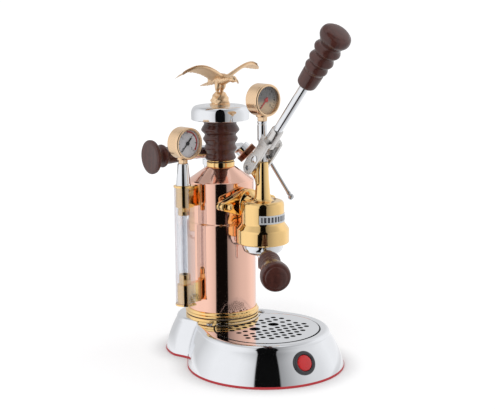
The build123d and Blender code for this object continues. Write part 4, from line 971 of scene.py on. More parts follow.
# Wall: radius of its side view, how far brow and deck stand in from the foot, thickness, middle in Y
WALL_R = 130.0
BROW_INSET = 18.0
DECK_INSET = 24.0
WALL_THICK = 1.2
BASE_Y = -60.0

# Grille: middle and radius of its round front, and of the hollow round the boiler
TRAY_Y = -91.0
TRAY_R = 67.0
HOLLOW_R = 51.0

# Wall's hole for the switch: radius, and how far it reaches to both sides of the switch's face
SWITCH_HOLE_R = 14.6
SWITCH_HOLE_REACH = 9.0


def wall_radius(foot, share, height):
    """Radius of a base dome at a height."""
    low, brow = Vector((foot, STRIP_Z)), Vector((foot - share * BROW_INSET, BROW_Z))
    top = Vector((foot - share * DECK_INSET, DECK_Z))
    if height <= BROW_Z:
        half = (brow - low).length / 2
        run = (brow - low).normalized()
        centre = (low + brow) / 2 + Vector((-run.y, run.x)) * math.sqrt(WALL_R ** 2 - half ** 2)
        return centre.x + math.sqrt(max(0.0, WALL_R ** 2 - (height - centre.y) ** 2))
    part = (height - BROW_Z) / (DECK_Z - BROW_Z)
    return top.x + (brow.x - top.x) * math.sqrt(max(0.0, 1 - part ** 2.1))


def far_hit(start, ahead, centre, radius):
    """Distance along a ray to the far side of a circle, or nothing."""
    gap = start - centre
    middle, rest = -gap.dot(ahead), gap.length_squared - radius ** 2
    inside = middle ** 2 - rest
    return middle + math.sqrt(inside) if inside > 0 else None


def base_reach(height, turn, grow=0.0):
    """Distance from the base's middle to its wall at a height, in a direction."""
    start = Vector((0.0, BASE_Y))
    ahead = Vector((math.cos(turn), math.sin(turn)))
    front, waist, lobe = [
        far_hit(start, ahead, Vector((0, middle)), wall_radius(foot, share, height) + grow)
        for middle, foot, share in (FRONT_DOME, WAIST_DOME, LOBE_DOME)]
    found = [front, waist]
    if lobe is not None:
        middle, _, share = LOBE_DOME
        flank = wall_radius(FLANK, share, height) + grow
        for side in (-1, 1):
            normal = Vector((side * math.cos(FLANK_LEAN), -math.sin(FLANK_LEAN)))
            slope = ahead.dot(normal)
            if slope > 1e-6:
                lobe = min(lobe, (flank - (start - Vector((0, middle))).dot(normal)) / slope)
        if lobe > 0:
            found.append(lobe)
    found = [reach for reach in found if reach is not None]
    most = max(found)
    return most + VALLEY * math.log(sum(math.exp((reach - most) / VALLEY) for reach in found))


def base_loop(height, grow=0.0, steps=360):
    """Plan of the base at a height."""
    turns = [FULL * step / steps for step in range(steps)]
    reaches = [base_reach(height, turn, grow) for turn in turns]
    return [(reach * math.cos(turn), BASE_Y + reach * math.sin(turn)) for reach, turn in zip(reaches, turns)]


def tray_loop(grow):
    """Plan of the grille: round at the front, hollowed round the boiler, with round ears."""
    ear, ear_radius = (37.55, -44.2), 7.0
    loop = arc(TRAY_R + grow, 128.74, 411.26, 120, (0.0, TRAY_Y))
    loop += arc(ear_radius + grow, 51.26, 130.35, 14, ear)[1:]
    loop += arc(HOLLOW_R - grow, -49.65, -130.35, 40)[1:]
    loop += arc(ear_radius + grow, 49.65, 128.74, 14, (-ear[0], ear[1]))[1:-1]
    return loop


def in_switch_hole(corners):
    """Whether all corners lie in the wall's hole for the switch."""
    places = [SWITCH.inverted() @ corner.co for corner in corners]
    return all(place.xy.length < SWITCH_HOLE_R and abs(place.z) < SWITCH_HOLE_REACH for place in places)


def wall_skins(form):
    """Outer and inner skin of the base's wall, joined round the hole for the switch."""
    first = 3.6
    heights = [STRIP_Z] + [first + step * (BROW_Z - first) / 12 for step in range(13)]
    outer, inner = [[form.row(base_loop(height, grow), height) for height in heights]
                    for grow in (0.0, -WALL_THICK)]
    steps = len(outer[0])
    cells = {}
    for level in range(len(heights) - 1):
        for step in range(steps):
            after = (step + 1) % steps
            cells[level, step] = ((level, step), (level, after), (level + 1, after), (level + 1, step))
    hole = {cell for cell, corners in cells.items()
            if in_switch_hole([outer[level][step] for level, step in corners])}
    for skin in (outer, inner):
        for cell, corners in cells.items():
            if cell not in hole:
                form.mesh.faces.new([skin[level][step] for level, step in corners])
    for level, step in hole:
        after = (step + 1) % steps
        sides = (
            ((level - 1, step), (level, step), (level, after)),
            ((level + 1, step), (level + 1, step), (level + 1, after)),
            ((level, step - 1), (level, step), (level + 1, step)),
            ((level, after), (level, after), (level + 1, after)))
        for beside, start, end in sides:
            if beside not in hole:
                form.mesh.faces.new([skin[row][part] for skin, (row, part) in (
                    (outer, start), (outer, end), (inner, end), (inner, start))])
    form.bridge(inner[0], outer[0])
    return outer[-1]


def base_wall():
    """Wall, deck, tray opening and ledge of the base, with a hole for the switch."""
    form = Form()
    brow = wall_skins(form)
    tops = [BROW_Z + (DECK_Z - BROW_Z) * math.sin(step * math.pi / 2 / 10) for step in range(1, 11)]
    loops = [(base_loop(height), height) for height in tops]
    shrink = 0.985
    loops.append(([(x * shrink, BASE_Y + (y - BASE_Y) * shrink) for x, y in loops[-1][0]], DECK_Z))
    rows = [brow] + [form.row(loop, height) for loop, height in loops]
    edge, gap, ledge = 1.7, 1.3, -3.2
    ledge_top, ledge_thick = 44.9, 1.0
    wells = [form.row(tray_loop(grow), height) for grow, height in (
        (edge, DECK_Z), (gap, DECK_Z - 0.4), (gap, ledge_top), (ledge, ledge_top),
        (ledge, ledge_top - ledge_thick))]
    for lower, upper in [*zip(rows, rows[1:]), *zip(wells, wells[1:])]:
        form.bridge(lower, upper)
    form.mesh.edges.ensure_lookup_table()
    rims = [form.mesh.edges.get((row[step], row[(step + 1) % len(row)]))
            for row in (rows[-1], wells[0]) for step in range(len(row))]
    bmesh.ops.triangle_fill(form.mesh, edges=rims, use_beauty=True, normal=(0, 0, 1))
    return form


class ESPRESSO_OT_base(bpy.types.Operator):
    """Chromed base with its deck and tray opening, the red strip and the hidden pieces under it"""

    bl_idname = "espresso.base"
    bl_label = "Base"

    def execute(self, context):
        dome = finished(base_wall().solid(), "base_dome", "base_shell", ["chrome", "cavity paint"],
                        "chrome", angle=30)
        # Faces in the gap round the grille, below the deck, get the gap's painted shade in place of chrome.
        low, high, front = 43.5, DECK_Z - 0.2, -162.0
        for polygon in dome.data.polygons:
            x, y, z = polygon.center / MM
            inside = math.hypot(x, y - TRAY_Y) < TRAY_R + 3.0
            polygon.material_index = int(inside and low < z < high and y > front)
        form = Form()
        section = [(0.15, 0.0), (0.55, 0.45), (0.55, 2.3), (0.1, STRIP_Z), (-3.4, STRIP_Z), (-3.4, 0.0)]
        rows = [form.row(base_loop(STRIP_Z, grow), height) for grow, height in section]
        for index, row in enumerate(rows):
            form.bridge(row, rows[(index + 1) % len(rows)])
        finished(form.solid(), "foot_strip", "base_trim_strip", "red strip rubber", "trim_red")
        refined("base_bottom_plate", "dark steel", "steel")
        refined("cord_gland", "black rubber", "black_rubber")
        refined("boiler_ring_nut", "bright steel", "steel")
        return {"FINISHED"}


class ESPRESSO_OT_deck_screws(bpy.types.Operator):
    """Two slotted screws beside the boiler"""

    bl_idname = "espresso.deck_screws"
    bl_label = "Deck screws"

    def execute(self, context):
        screw = Form().turned(eased([
            (0, -8.0), (2.0, -8.0), (2.0, 0.0), (4.1, 0.0), (4.1, 0.9), (3.2, 1.5), (0, 1.6)], 0.5), steps=40)
        slotted = cut(screw.solid(), Form().prism([(-5, -0.5), (5, -0.5), (5, 0.5), (-5, 0.5)], 0.8, 3.0))
        form = Form()
        form.mesh.from_mesh(slotted.data)
        form.mesh.transform(Matrix.Scale(1 / MM, 4))
        bpy.data.objects.remove(slotted)
        beside, ahead, turn = 44.6, -28.9, 0.5
        places = [shifted(side * beside, ahead, DECK_Z) @ Matrix.Rotation(side * turn, 4, "Z")
                  for side in (-1, 1)]
        finished(repeated(form, places, "bright steel"), "deck_screw_pair", "deck_screws",
                 "bright steel", "steel")
        return {"FINISHED"}


class ESPRESSO_OT_drip_tray(bpy.types.Operator):
    """Perforated grille over the drip tray"""

    bl_idname = "espresso.drip_tray"
    bl_label = "Drip tray and grille"

    def execute(self, context):
        sizes = context.scene.espresso_sizes
        pitch, low, thick, finger_row = 10.5, 46.8, 2.0, -85.3
        # Rows of small holes by count and place. Holes have their places in millimetres and their
        # radius in metres, as the panel gives it.
        rows = zip((8, 9, 9, 10, 9, 6, 3), (-61.2, -71.6, -99.0, -109.3, -119.6, -129.9, -140.2))
        holes = [((step - (count - 1) / 2) * pitch, place, sizes.hole_radius)
                 for count, place in rows for step in range(count)]
        holes += [(step * pitch, finger_row, sizes.hole_radius) for step in (0, -3, 3, -4, 4)]
        holes += [(side * 1.5 * pitch, finger_row, sizes.finger_radius) for side in (-1, 1)]
        mesh = bpy.data.meshes.new("hole places")
        mesh.from_pydata([(x * MM, y * MM, low * MM) for x, y, _ in holes], [], [])
        radii = mesh.attributes.new("radius", "FLOAT", "POINT")
        radii.data.foreach_set("value", [radius for _, _, radius in holes])
        places = linked("hole places", mesh)
        loop = tray_loop(-0.5)
        edge = bpy.data.meshes.new("grille outline")
        edge.from_pydata([(x * MM, y * MM, low * MM) for x, y in loop],
                         [(step, (step + 1) % len(loop)) for step in range(len(loop))], [])
        sheet = dress(linked("grille", edge), TREES["sheet"], Hole_places=places, Thickness=thick * MM,
                      Facets=24, Height=low * MM, Finish=paint("chrome"))
        bpy.data.objects.remove(places)
        finished(sheet, "grille_sheet", "drip_grille", "chrome", "chrome", ease=0.35, angle=50)
        # The drip tray gets nearly black steel, painted shade for the shade under the grille.
        refined("drip_tray", "tray steel", "steel")
        return {"FINISHED"}


class ESPRESSO_OT_switch(bpy.types.Operator):
    """Round switch with its bezel and plain red button"""

    bl_idname = "espresso.switch"
    bl_label = "Switch"

    def execute(self, context):
        bezel = eased([(0, -15.0), (14.9, -15.0), (14.9, 0.0), (15.0, 1.2), (13.9, 2.4), (12.4, 2.8),
                       (11.2, 2.5), (10.3, 1.6), (10.3, -13.0), (0, -13.0)], 0.9)
        finished(Form().turned(bezel, SWITCH).solid(), "switch_bezel", "switch_housing",
                 "bezel plastic", "black_plastic")
        radius, back = 10.0, -7.6
        button = eased([(0, back), (radius, back), (radius, 1.2)], 0.2, False)
        button = domed(button[:-1] + [(radius, 0.9), (9.6, 1.4)], 1.5)
        finished(Form().turned(button, SWITCH).solid(), "switch_cap", "switch_button",
                 "button plastic", "red_plastic")
        return {"FINISHED"}


# Boiler

class ESPRESSO_OT_boiler(bpy.types.Operator):
    """Copper boiler with its rings, gaskets and filler"""

    bl_idname = "espresso.boiler"
    bl_label = "Boiler"

    def execute(self, context):
        turned = (
            ("deck_flange", "boiler_lower_flange", "polished brass", "brass", 0.5, [
                (32.3, DECK_Z), (48.5, DECK_Z), (48.5, 51.7), (48.0, GASKET_Z), (32.3, GASKET_Z)]),
            ("foot_gasket", "boiler_gasket", "grey gasket", "black_rubber", 0.3,
             ring_outline(47.6, 32.3, GASKET_Z, RING_Z)),
            ("foot_ring", "boiler_base_ring", "polished brass", "brass", 0.6, [
                (28.5, 38.0), (32.0, 38.0), (32.0, RING_Z), (47.9, RING_Z), (48.7, 54.2), (48.7, 56.5),
                (47.3, 57.0), (46.8, 57.5), (46.8, 60.0), (45.8, 61.0), (45.05, 61.0), (45.05, SHELL_Z),
                (28.5, SHELL_Z)]),
            ("copper_shell", "boiler_shell", "polished copper", "copper", 1.2, [
                (43.0, SHELL_Z), (BOILER_R, SHELL_Z), (BOILER_R, 175.7), (44.7, 176.1), (44.4, 176.9),
                (43.5, 177.7), (SHOULDER_R, 178.6), (SHOULDER_R, 229.0), (42.9, 230.4), (42.0, 231.2),
                (18.6, FILLER_Z), (15.0, FILLER_Z), (15.0, 245.5), (41.2, 227.0), (41.2, 178.2),
                (43.0, 174.0)]),
            ("filler_collar", "filler_ring", "polished brass", "brass", 0.6, [
                (12.0, 239.5), (14.9, 239.5), (14.9, FILLER_Z), (17.8, FILLER_Z), (18.3, 248.2),
                (18.3, 253.3), (17.8, SEAL_Z), (12.0, SEAL_Z)]),
            ("cap_gasket", "cap_seal", "black rubber", "black_rubber", 0.2,
             ring_outline(17.5, 12.05, SEAL_Z, SEAL_TOP_Z)),
            ("cap_screw", "cap_plug", "polished brass", "brass", 0.3, [
                (0, 244.0), (10.95, 244.0), (11.95, 245.0), (11.95, SEAL_TOP_Z), (17.8, SEAL_TOP_Z),
                (17.8, GRIP_Z), (5.0, GRIP_Z), (5.0, 317.8), (0, 317.8)]),
        )
        for name, node, finish, slot, ease, outline in turned:
            finished(Form().turned(eased(outline, ease), steps=160).solid(), name, node, finish, slot)
        refined("heating_element", "dark steel", "steel")
        return {"FINISHED"}


class ESPRESSO_OT_cap(bpy.types.Operator):
    """Wooden bellows grip and chromed disc of the cap"""

    bl_idname = "espresso.cap"
    bl_label = "Cap"

    def execute(self, context):
        bellows = ((1.0, 0.0), (1.13, 0.05), (1.03, 0.165), (1.2, 0.285), (1.08, 0.388), (1.275, 0.51),
                   (1.145, 0.615), (1.4, 0.728), (1.19, 0.87), (1.25, 0.93), (1.25, 1.0))
        bore = 5.05
        side = smooth(stretched(bellows, 17.8, GRIP_TOP_Z - GRIP_Z, GRIP_Z))
        grip = Form().turned([(bore, GRIP_Z), *side, (bore, GRIP_TOP_Z)], steps=128)
        finished(grip.solid(), "cap_bellows", "cap_grip", "grip wood", "wood")
        rim = ((0.972, 0.0), (0.987, 0.022), (0.994, 0.06), (1.0, 0.25), (1.0, 0.46), (0.99, 0.62),
               (0.965, 0.77), (0.925, 0.89), (0.87, 0.965), (0.80, 1.0))
        rim = smooth(stretched(rim, 37.8, DISC_TOP_Z - DISC_Z, DISC_Z), 4)
        groove = [(19.7 - 0.2 * step, DISC_TOP_Z - depth) for step, depth in (
            (0, 0.0), (1, 0.2), (2, 0.6), (5, 0.6), (6, 0.2), (7, 0.0))]
        disc = Form().turned([(bore, DISC_Z), *rim, *groove, (bore, DISC_TOP_Z)], steps=128)
        finished(disc.solid(), "cap_plate", "cap_disc", "chrome", "chrome")
        return {"FINISHED"}


def feather(length, width, thick, bend):
    """One feather blade along X, rounded at its tip and bent down along its length."""
    form, across, along = Form(), 6, 10
    points, faces = [], []
    for layer in (1, -1):
        for row in range(along + 1):
            place = row / along
            tip = max(0.0, (place - 0.72) / 0.28)
            half = width / 2 * (1 - tip ** 2) ** 0.5 * (0.7 + 0.3 * place)
            half = max(half, width * 0.03)
            for column in range(across + 1):
                side = 2 * column / across - 1
                rise = layer * thick / 2 * (1 - side * side * 0.75) * (1 - 0.5 * place)
                points.append((place * length, side * half, rise - bend * place * place))
    row_size, layer_size = across + 1, (across + 1) * (along + 1)
    for row in range(along):
        for column in range(across):
            corner = row * row_size + column
            quad = (corner, corner + row_size, corner + row_size + 1, corner + 1)
            faces += [quad, tuple(index + layer_size for index in quad[::-1])]
    rim = ([(0, column) for column in range(across)] + [(row, across) for row in range(along)]
           + [(along, column) for column in range(across, 0, -1)] + [(row, 0) for row in range(along, 0, -1)])
    rim = [row * row_size + column for row, column in rim]
    for index, corner in enumerate(rim):
        other = rim[(index + 1) % len(rim)]
        faces.append((corner, other, other + layer_size, corner + layer_size))
    return form.take(points, faces)


def wing_line(side, share):
    """Leading edge of a wing, as a point at a share of its span."""
    line = smooth([(3.0, -10.0, 2.5), (17.0, -11.8, 11.0), (31.0, -11.4, 16.8), (43.0, -8.6, 17.6),
                   (53.0, -4.4, 14.0), (59.5, -0.6, 9.6)], 8)
    place = share * (len(line) - 1)
    index = min(int(place), len(line) - 2)
    x, y, rise = Vector(line[index]).lerp(Vector(line[index + 1]), place - index)
    if side > 0:
        x, rise = x * 1.07, rise + 3.5 * share ** 3
    return Vector((side * x, y, EAGLE_Z + rise))


def limb(form, spots, steps, flat=1.0):
    """Bar along a smooth line through spots, each three distances from the eagle's middle and a radius."""
    line = smooth([(x, y, EAGLE_Z + rise, radius) for x, y, rise, radius in spots], 5)
    return form.tube([spot[:3] for spot in line], [spot[3] for spot in line], steps, flat)


def eagle_body(spine):
    """Rock with the eagle's body, head, beak, legs, eyes and the bones of its wings."""
    form = Form()
    outline = smooth(stretched(((1.0, 0.0), (1.03, 0.11), (0.92, 0.16), (0.94, 0.35), (0.83, 0.6),
                                (0.66, 0.84), (0.5, 1.0)), 12.7, ROCK_TOP_Z - DISC_TOP_Z, DISC_TOP_Z), 5)
    form.turned([(0, DISC_TOP_Z), *outline, (0, ROCK_TOP_Z)], steps=48)
    for corner in form.mesh.verts:
        if corner.co.z > DISC_TOP_Z + 2.2:
            turn = math.atan2(corner.co.y, corner.co.x)
            rough = 0.55 * math.sin(3 * turn + corner.co.z) + 0.4 * math.sin(7 * turn - 0.8 * corner.co.z)
            corner.co.xy *= 1 + 0.07 * rough
    form.tube([(0, y, EAGLE_Z + rise) for y, _, rise in spine], [radius for _, radius, _ in spine], 32)
    limb(form, [(0, -21.0, 1.6, 3.6), (0, -25.0, 1.9, 4.3), (0, -28.5, 1.4, 4.2), (0, -31.6, 0.2, 2.4)], 28)
    limb(form, [(0, -30.4, 1.1, 2.3), (0, -34.2, 0.2, 1.8), (0, -36.6, -1.8, 1.1), (0, -36.9, -3.8, 0.35)],
         18, 0.8)
    for side in (-1, 1):
        limb(form, [(side * 2.6, -1.5, -2.0, 4.6), (side * 4.0, -1.0, -8.5, 4.2),
                    (side * 3.6, 0.6, -14.0, 2.6), (side * 3.6, -0.4, -19.0, 1.8)], 20)
        claw = Vector((side * 3.6, -0.4, EAGLE_Z - 18.2))
        for spread in (-0.6, 0.0, 0.6):
            toe = Vector((math.sin(spread) * 5.0, -5.0 * math.cos(spread), -2.2))
            form.tube([claw, claw + toe * 0.5 + Vector((0, 0, 0.8)), claw + toe], [1.4, 1.2, 0.5], 10)
        form.ball(0.75, shifted(side * 3.5, -28.8, EAGLE_Z + 2.9), 12)
        shares = [step / 24 for step in range(25)]
        form.tube([wing_line(side, share) for share in shares],
                  [3.4 - 2.5 * share ** 0.6 for share in shares], 16, 0.75)
    return form


def wing_feathers(dice):
    """Places of the wings' long feathers, of the short ones over their roots, and of small scales."""
    quills, coverts, scales = [], [], []
    for side in (-1, 1):
        for index in range(25):
            share = 0.03 + 0.95 * index / 24
            root = wing_line(side, share)
            outer = max(0.0, (share - 0.5) / 0.5)
            fan = math.radians(86 - 64 * outer ** 1.2)
            slope = wing_line(side, min(1.0, share + 0.04)) - wing_line(side, max(0.0, share - 0.04))
            slope.z *= 1 - 0.35 * outer
            slope.normalize()
            ahead = slope * math.cos(fan) + Vector((0, 1, -0.32)) * math.sin(fan)
            length = (20.5 + 3.0 * math.sin(share * 3.0)) * (1 - 0.42 * outer) + dice.uniform(-0.5, 0.5)
            width = 6.4 - 1.8 * outer
            up = slope.cross(ahead) * side
            lift = up.normalized() * (0.25 * (index % 2))
            place = placed_at(root + lift, ahead, up)
            quills.append(place @ Matrix.Diagonal((length / 20, width / 6, 1, 1)))
            if index < 23:
                over = placed_at(root + up.normalized() * 1.3 - ahead * 0.6, ahead, up)
                coverts.append(over @ Matrix.Diagonal((0.46 * length / 20, width / 7, 1, 1)))
                scales.append(over @ shifted(-0.6, 0, 0.8) @ Matrix.Diagonal((0.25, width / 8, 1, 1)))
    return quills, coverts, scales


def tail_feathers(count=7):
    """Places of the tail's feathers, in a fan."""
    places = []
    for index in range(count):
        fan = math.radians((index - (count - 1) / 2) * 9)
        ahead = Vector((math.sin(fan), math.cos(fan), -0.40))
        root = (math.sin(fan) * 3, 13.0, EAGLE_Z - 2.4 + 0.2 * (index % 2))
        places.append(placed_at(root, ahead, (0, 0.40, 1)) @ Matrix.Diagonal((1.0, 0.75, 1, 1)))
    return places


def body_feathers(spine, count=11):
    """Places of the small feathers in rings round the body."""
    places = []
    for row, (y, radius, rise) in enumerate(spine):
        for index in range(count):
            turn = FULL * (index + 0.5 * (row % 2)) / count
            out = Vector((math.cos(turn), 0, math.sin(turn)))
            root = Vector((0, y, EAGLE_Z + rise)) + out * (radius - 0.25)
            places.append(placed_at(root, (0, 1, 0), out + Vector((0, -0.12, 0)))
                          @ Matrix.Diagonal((0.22, 0.62, 0.9, 1)))
    return places


class ESPRESSO_OT_eagle(bpy.types.Operator):
    """Generic eagle with spread feathered wings on a rock"""

    bl_idname = "espresso.eagle"
    bl_label = "Eagle"

    def execute(self, context):
        spine = smooth([(-25.0, 3.1, 1.6), (-18.0, 4.6, 1.8), (-9.0, 7.0, 0.6), (0.0, 7.6, 0.0),
                        (9.0, 6.4, -0.6), (17.0, 4.1, -3.6), (24.0, 2.2, -7.2)], 5)
        quills, coverts, scales = wing_feathers(random.Random(11))
        quills += tail_feathers()
        scales += body_feathers(spine[4:-6:2])
        things = [eagle_body(spine).solid()]
        for places, thick, bend in ((quills, 1.1, 1.0), (coverts, 1.2, 1.2), (scales, 1.2, 0.8)):
            things.append(repeated(feather(20.0, 6.0, thick, bend), places, "eagle gold"))
        finished(joined(*things), "eagle_ornament", "eagle_finial", "eagle gold", "brass", angle=42)
        return {"FINISHED"}


# Steam valve and wand

class ESPRESSO_OT_steam_valve(bpy.types.Operator):
    """Steam valve with its spindle and wooden knob"""

    bl_idname = "espresso.steam_valve"
    bl_label = "Steam valve"

    def execute(self, context):
        outline = eased([(0, -42.0), (7.4, -42.0), (8.8, -40.6), (8.8, -30.0), (7.0, -28.0), (7.0, -20.0),
                         (8.8, -17.0), (8.8, 14.0), (7.0, 20.0), (6.6, 40.0), (6.8, 60.0), (5.4, 61.5),
                         (0, 61.5)], 1.0)
        form = Form().turned(outline, VALVE, 64)
        foot = shifted(6.0, *VALVE_ORIGIN[1:])
        form.disc(7.0, -36.0, -1.0, foot).hexagon(9.5, -18.0, -11.0, foot)
        form.disc(10.8, -11.0, -0.4, BALL, 0.8, 64)
        thing = cut(form.solid(), Form().ball(7.6, BALL))
        finished(thing, "valve_casting", "steam_valve_body", "chrome", "chrome", ease=edge_size())
        refined("steam_spindle", "rod steel", "steel")
        knob = [(18.5, 0.0), (21.6, 0.03), (22.0, 0.08), (20.6, 0.14), (13.0, 0.19), (11.2, 0.25),
                (11.4, 0.33), (14.7, 0.41), (14.4, 0.49), (11.6, 0.56), (11.0, 0.75), (10.4, 1.0)]
        side = smooth(stretched(knob, 1.0, 43.0, -87.0))
        bore, bore_end, face = 3.05, -58.0, -86.4
        outline = [(bore, bore_end), (0.0, bore_end), (0.0, face), (9.0, face), (15.5, -86.8), *side,
                   (bore, -44.0)]
        finished(Form().turned(outline, VALVE, 112).solid(), "knob_turning", "steam_knob", "knob wood",
                 "wood")
        return {"FINISHED"}


class ESPRESSO_OT_wand(bpy.types.Operator):
    """Knurled ring nut and the wand that swings on its ball"""

    bl_idname = "espresso.wand"
    bl_label = "Steam wand"

    def execute(self, context):
        nut = eased([(10.85, -4.0), (13.4, -4.0), (14.4, -3.4), (14.4, -2.8), (13.2, -2.5), (13.2, 3.2),
                     (14.4, 3.5), (14.4, 4.0), (13.4, 4.5), (10.0, 4.5), (7.7, 2.7), (7.7, 0.8),
                     (10.85, 0.8)], 0.3)
        nut = Form().turned(nut, BALL, 96).solid()
        ridge = Form().prism([(-0.7, -1.0), (0.7, -1.0), (0.25, 0.2), (-0.25, 0.2)], -2.9, 3.6)
        count = context.scene.espresso_sizes.ridges
        places = [BALL @ Matrix.Rotation(FULL * step / count, 4, "Z") @ shifted(0, 13.95)
                  for step in range(count)]
        # The ridges and the knurled band get the darker knurl copper, painted shade for the shade between the
        # ridges.
        ring = finished(joined(nut, repeated(ridge, places, "knurl copper")), "ring_nut", "steam_joint_nut",
                        ["ring copper", "knurl copper"], "copper")
        low, high, root = -2.95, 3.65, 13.0
        for polygon in ring.data.polygons:
            middle = BALL.inverted() @ (polygon.center / MM)
            polygon.material_index = int(low < middle.z < high and middle.xy.length > root)
        side, ahead = math.cos(math.radians(-45)), math.sin(math.radians(-45))
        path = eased([(0.0, 0.0), (27.0, -4.2), (60.0, -60.1)], 7.5, False)
        bend = smooth([(JOINT[0] + side * x, JOINT[1] + ahead * x, JOINT[2] + z) for x, z in path], 5)
        form = Form().tube(bend, 2.5).ball(7.5, shifted(*JOINT))
        end, run = Vector(bend[-1]), (Vector(bend[-1]) - Vector(bend[-2])).normalized()
        tip = placed_at(end, (0, 1, 0), run)
        form.turned(eased([(0, -9.0), (2.5, -9.0), (3.2, -5.5), (2.9, -4.2), (0, -4.2)], 0.6), tip, 32)
        form.ball(4.3, tip, 40)
        lean = Matrix.Rotation(math.radians(50), 4, "Y")
        holes = [Form().disc(0.8, 2.0, 9.0, tip @ Matrix.Rotation(FULL * turn / 3, 4, "Z") @ lean, 0.05, 16)
                 for turn in range(3)]
        finished(cut(form.solid(), *holes), "wand_tube", "steam_wand", "wand steel", "chrome")
        return {"FINISHED"}


# Sight glass and gauges

def fitting_plan(radius, reach, steps=24, neck=()):
    """Plan of a sight-glass fitting: round outside, straight toward the boiler, with an optional neck."""
    right = [(reach, -radius), *((x, -half) for x, half in neck)]
    return arc(radius, 90, 270, steps) + right + [(x, -y) for x, y in right[::-1]]


class ESPRESSO_OT_sight_glass(bpy.types.Operator):
    """Sight glass with its brass blocks, nuts, tube and clear shield"""

    bl_idname = "espresso.sight_glass"
    bl_label = "Sight glass"

    def execute(self, context):
        reach, neck, boiler = 8.0, 4.6, 27.5
        block = fitting_plan(10.0, reach, neck=((reach, neck), (boiler, neck)))
        cover = fitting_plan(12.6, 8.4)
        upper, lower = 202.4, 101.4
        blocks = Form().prism(block, upper, SHIELD_TOP_Z, SIGHT_AXIS)
        blocks.prism(cover, SHIELD_TOP_Z, SHIELD_TOP_Z + SHIELD_COVER, SIGHT_AXIS)
        blocks.prism(block, SHIELD_Z, lower, SIGHT_AXIS)
        blocks.prism(cover, SHIELD_Z - SHIELD_COVER, SHIELD_Z, SIGHT_AXIS)
        thing = cut(blocks.solid(), Form().disc(BOILER_R + BOILER_GAP, 60.0, 110.0, steps=128),
                    Form().disc(SHOULDER_R + BOILER_GAP, 195.0, 235.0, steps=128))
        finished(thing, "sight_castings", "sight_blocks", "polished brass", "brass", ease=edge_size())
        nuts = Form()
        for hexagon, collar in (((197.2, upper), (192.0, 197.2)), ((lower, 107.95), (107.95, 114.5))):
            nuts.hexagon(8.3, *hexagon, SIGHT_AXIS)
            nuts.turned(eased(ring_outline(7.4, 4.3, *collar), 0.6), SIGHT_AXIS, 48)
        finished(nuts.solid(), "packing_nuts", "sight_nuts", "polished brass", "brass", ease=0.4)
        tube = Form().turned(eased(ring_outline(4.2, 2.7, 98.4, 205.4), 0.3), SIGHT_AXIS, 64)
        finished(tube.solid(), "level_tube", "sight_glass_tube", "tube glass", "glass")
        outer, inner = [fitting_plan(radius, 7.7, 40) for radius in (12.3, 11.4)]
        shield = outer[-1:] + outer[:-1] + (inner[-1:] + inner[:-1])[::-1]
        finished(Form().prism(shield, SHIELD_Z, SHIELD_TOP_Z, SIGHT_AXIS).solid(), "clear_guard",
                 "sight_shield", "shield acrylic", "clear_shield")
        return {"FINISHED"}


def numerals(place, values, radius, size):
    """Small printed numbers on a gauge face, as thin flat shapes."""
    form = Form()
    for index, value in enumerate(values):
        turn = math.radians(-135 + 270 * index / (len(values) - 1))
        text = bpy.data.curves.new("number", "FONT")
        text.body, text.size, text.align_x, text.align_y = str(value), size, "CENTER", "CENTER"
        text.extrude, text.offset = 0.03, 0.08
        letters = linked("number", text)
        mesh = worked_out(letters)
        mesh.transform(place @ shifted(radius * math.sin(turn), radius * math.cos(turn), -5.66))
        form.mesh.from_mesh(mesh)
        bpy.data.objects.remove(letters)
        bpy.data.curves.remove(text)
        bpy.data.meshes.remove(mesh)
    return form.solid()


def gauge(name, place, post_back, slot, face, hand, numbers, tail):
    """Case, dial, glass and needle of a gauge; face and hand give a finish each, and a slot that is not used.
    """
    stem = name.split("_")[0]
    radius, dial_radius, dial_back, glass_front = 20.2, 17.9, -6.5, -1.6
    case = eased([(0, -22.0), (18.6, -22.0), (radius, -20.4), (radius, -4.4), (19.8, -3.9), (19.8, -3.5),
                  (radius, -3.0), (radius, -1.0), (19.2, 0.0), (17.7, 0.0), (17.2, -0.6),
                  (17.2, glass_front), (18.0, glass_front), (18.0, dial_back), (0, dial_back)], 0.5)
    form = Form().turned(case, place, 128)
    down = place @ facing_front(0, 0, -post_back)
    form.hexagon(6.6, 18.6, 25.8, down).disc(4.5, 25.0, 32.8, down)
    form.turned(eased([(0, 17.5), (8.0, 17.5), (8.0, 20.6), (7.2, 21.4), (0, 21.4)], 0.5), down, 48)
    shell = finished(form.solid(), stem + "_gauge_shell", name + "_case", ["gauge gold", "bezel gold"],
                     slot, ease=0.4)
    for polygon in shell.data.polygons:
        polygon.material_index = int((place.inverted() @ (polygon.center / MM)).z > -4.6)
    disc = eased(ring_outline(dial_radius, 0.85, dial_back, -5.7), 0.1)
    disc = Form().turned(disc, place, 96).solid()
    plain = len(disc.data.polygons)
    dial_disc = finished(joined(disc, numerals(place, numbers, 9.7, 4.2)), stem + "_gauge_face",
                         name + "_dial", [face[0], "pale ink"], face[1])
    for index, polygon in enumerate(dial_disc.data.polygons):
        polygon.material_index = int(index >= plain)
    glass = Form().disc(dial_radius, -2.8, glass_front, place, 0.2, 96)
    finished(glass.solid(), stem + "_gauge_window", name + "_glass", "gauge glass", "glass")
    turned = place @ Matrix.Rotation(math.radians(138), 4, "Z")
    tip, back, front = 13.4, -5.4, -4.8
    hand_plan = [(-1.1, -tail), (1.1, -tail), (0.95, 0.0), (0.5, tip), (-0.5, tip), (-0.95, 0.0)]
    needle = Form().plate([hand_plan], back, front, turned, 0.08)
    needle.turned(eased([(0, -9.2), (0.8, -9.2), (0.8, back), (2.5, back), (2.5, -3.9), (0, -3.5)], 0.3),
                  turned, 32)
    finished(needle.solid(), stem + "_gauge_hand", name + "_needle", *hand)


